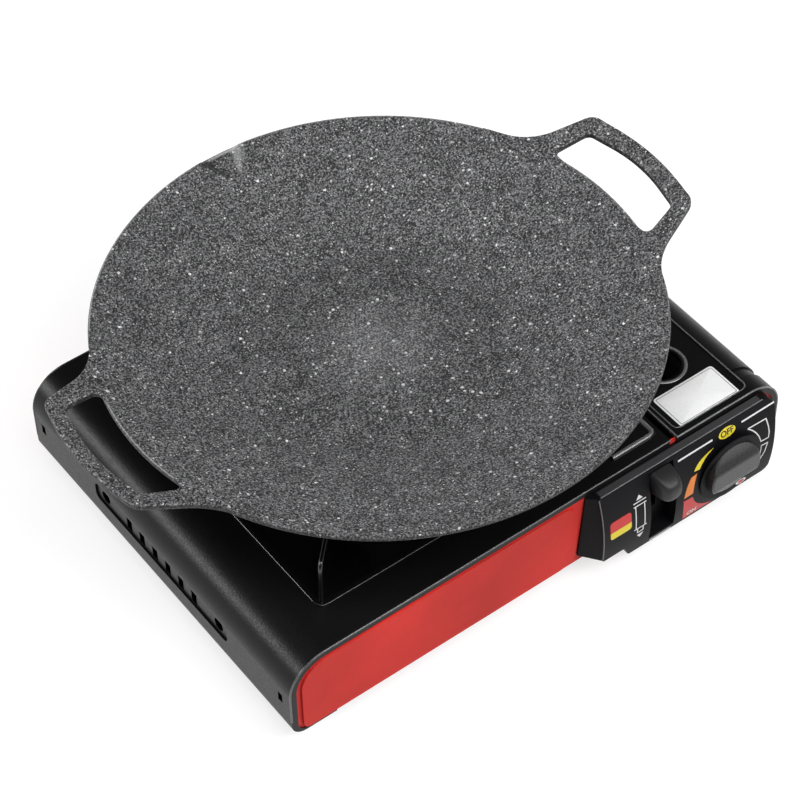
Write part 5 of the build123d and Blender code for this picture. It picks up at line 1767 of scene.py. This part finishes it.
@dataclass
class Studio:
    """White floor, soft lights, pale surroundings and the camera at the photograph's angle.

    Lengths are in metres, angles in degrees and powers in watts. The horizon is a span from the height of a
    direction to the strength of the light from there.
    """

    azimuth: float = -36.199
    elevation: float = 48.286
    roll: float = -1.023
    lens: float = 118.44
    sensor: float = 36.0
    distance: float = 1.55
    farthest: float = 50.0
    target: Triple = (-0.001858, 0.002251, 0.052)
    lit_point: Triple = (0.0, 0.0, 0.06)
    floor_half: float = 6.0
    floor_tone: Triple = (0.4, 0.4, 0.4)
    floor_glow: float = 0.7
    horizon: Span = (0.12, 0.62, 0.62, 0.08)

    def camera(self) -> None:
        """Places the camera on its direction from the target, rolled about its own axis."""
        a, e, r = np.radians([self.azimuth, self.elevation, self.roll])
        back = np.array([np.sin(a) * np.cos(e), -np.cos(a) * np.cos(e), np.sin(e)])
        right = np.array([np.cos(a), np.sin(a), 0.0])
        up = np.cross(back, right)
        matrix = np.eye(4)
        matrix[:3, 0] = np.cos(r) * right + np.sin(r) * up
        matrix[:3, 1] = -np.sin(r) * right + np.cos(r) * up
        matrix[:3, 2] = back
        matrix[:3, 3] = np.array(self.target) + back * self.distance
        data = bpy.data.cameras.new("product_camera")
        data.lens = self.lens
        data.sensor_width = self.sensor
        data.sensor_fit = "HORIZONTAL"
        data.clip_end = self.farthest
        camera = put_in_scene("product_camera", data)
        camera.matrix_world = Matrix(matrix.tolist())
        bpy.context.scene.camera = camera

    def lamp(self, name: str, spot: Triple, size: Pair, watts: float) -> None:
        """A rectangular soft light that faces the stove.

        Args:
            name: Name of the lamp.
            spot: Where it hangs.
            size: Its width and height.
            watts: Its power.
        """
        data = bpy.data.lights.new(name, "AREA")
        data.shape = "RECTANGLE"
        data.size, data.size_y = size
        data.energy = watts
        facing = Vector(self.lit_point) - Vector(spot)
        turned = facing.to_track_quat("-Z", "Y").to_matrix().to_4x4()
        put_in_scene(name, data).matrix_world = Matrix.Translation(spot) @ turned

    def floor(self) -> None:
        """A wide pale floor at the feet, brighter to the eye than the light on it alone would make it."""
        steps = np.linspace(-self.floor_half, self.floor_half, 3)
        x, y = np.meshgrid(steps, steps, indexing="ij")
        mesh = bpy.data.meshes.new("floor")
        patch = Patch(np.stack([x, y, np.zeros_like(x)], -1))
        mesh.from_pydata(patch.points.reshape(-1, 3).tolist(), [], patch.quads()[:, ::-1].tolist())
        sheet = NodeSheet("pale_floor")
        sheet.set(Base_Color=self.floor_tone, Roughness=0.9, Specular_IOR_Level=0.1)
        glow = sheet.tree.nodes.new("ShaderNodeEmission")
        path = sheet.tree.nodes.new("ShaderNodeLightPath")
        seen = sheet.math("MAXIMUM", path.outputs["Is Camera Ray"], path.outputs["Is Glossy Ray"])
        seen = sheet.math("MAXIMUM", seen, path.outputs["Is Transmission Ray"])
        sheet.join(sheet.times(seen, self.floor_glow), glow.inputs["Strength"])
        total = sheet.tree.nodes.new("ShaderNodeAddShader")
        sheet.join(sheet.shader.outputs[0], total.inputs[0])
        sheet.join(glow.outputs[0], total.inputs[1])
        sheet.join(total.outputs[0], sheet.output.inputs["Surface"])
        mesh.materials.append(sheet.material)
        floor = put_in_scene("floor", mesh)

    def surroundings(self) -> None:
        """White to the camera; to the surfaces, pale near the horizon and dark overhead."""
        world = bpy.data.worlds.new("studio_world")
        bpy.context.scene.world = world
        world.use_nodes = True
        tree = world.node_tree
        tree.nodes.clear()
        output = tree.nodes.new("ShaderNodeOutputWorld")
        light = tree.nodes.new("ShaderNodeBackground")
        place = tree.nodes.new("ShaderNodeTexCoord")
        split = tree.nodes.new("ShaderNodeSeparateXYZ")
        tree.links.new(place.outputs["Generated"], split.inputs[0])
        fade = tree.nodes.new("ShaderNodeMapRange")
        for key, number in zip(("From Min", "From Max", "To Min", "To Max"), self.horizon):
            fade.inputs[key].default_value = number
        tree.links.new(split.outputs["Z"], fade.inputs["Value"])
        path = tree.nodes.new("ShaderNodeLightPath")
        whole = tree.nodes.new("ShaderNodeMath")
        whole.operation = "MAXIMUM"
        tree.links.new(path.outputs["Is Camera Ray"], whole.inputs[0])
        tree.links.new(fade.outputs[0], whole.inputs[1])
        tree.links.new(whole.outputs[0], light.inputs["Strength"])
        tree.links.new(light.outputs[0], output.inputs["Surface"])

    def build(self) -> None:
        """Sets up the camera, floor, surroundings and lamps."""
        self.camera()
        self.floor()
        self.surroundings()
        self.lamp("front_softbox", (0.1, -1.0, 1.8), (1.6, 1.2), 24.0)
        self.lamp("front_right_strip", (0.8, -1.27, 1.38), (1.2, 0.3), 14.0)
        self.lamp("back_left_strip", (-1.6, 1.18, 0.81), (1.2, 0.5), 25.0)
        self.lamp("top_softbox", (-0.5, -0.1, 2.1), (1.2, 1.2), 8.0)
        bpy.context.scene.view_settings.view_transform = "Standard"


class StoveFrame:
    """The CAD nodes, each dressed in the finish of its material slot."""

    def build(self) -> None:
        """Gives every node the finish that its slot names."""
        for part in frame["record"]["subparts"]:
            mesh = frame["nodes"][part["node"]].data
            mesh.materials.clear()
            mesh.materials.append(SLOT_FINISH[part["material_slot"]].material())
            LOG.info("%s: %s", part["node"], part["material_slot"])


def main() -> None:
    """Builds the studio and every piece in order."""
    logging.basicConfig(level=logging.INFO, format="%(message)s")
    Studio().build()
    for assembly in (StoveFrame, GriddlePlate, FlameKnob, LeverButton, FasciaPrint, LidLabel, PressedEdges):
        assembly().build()


if __name__ == "__main__":
    main()
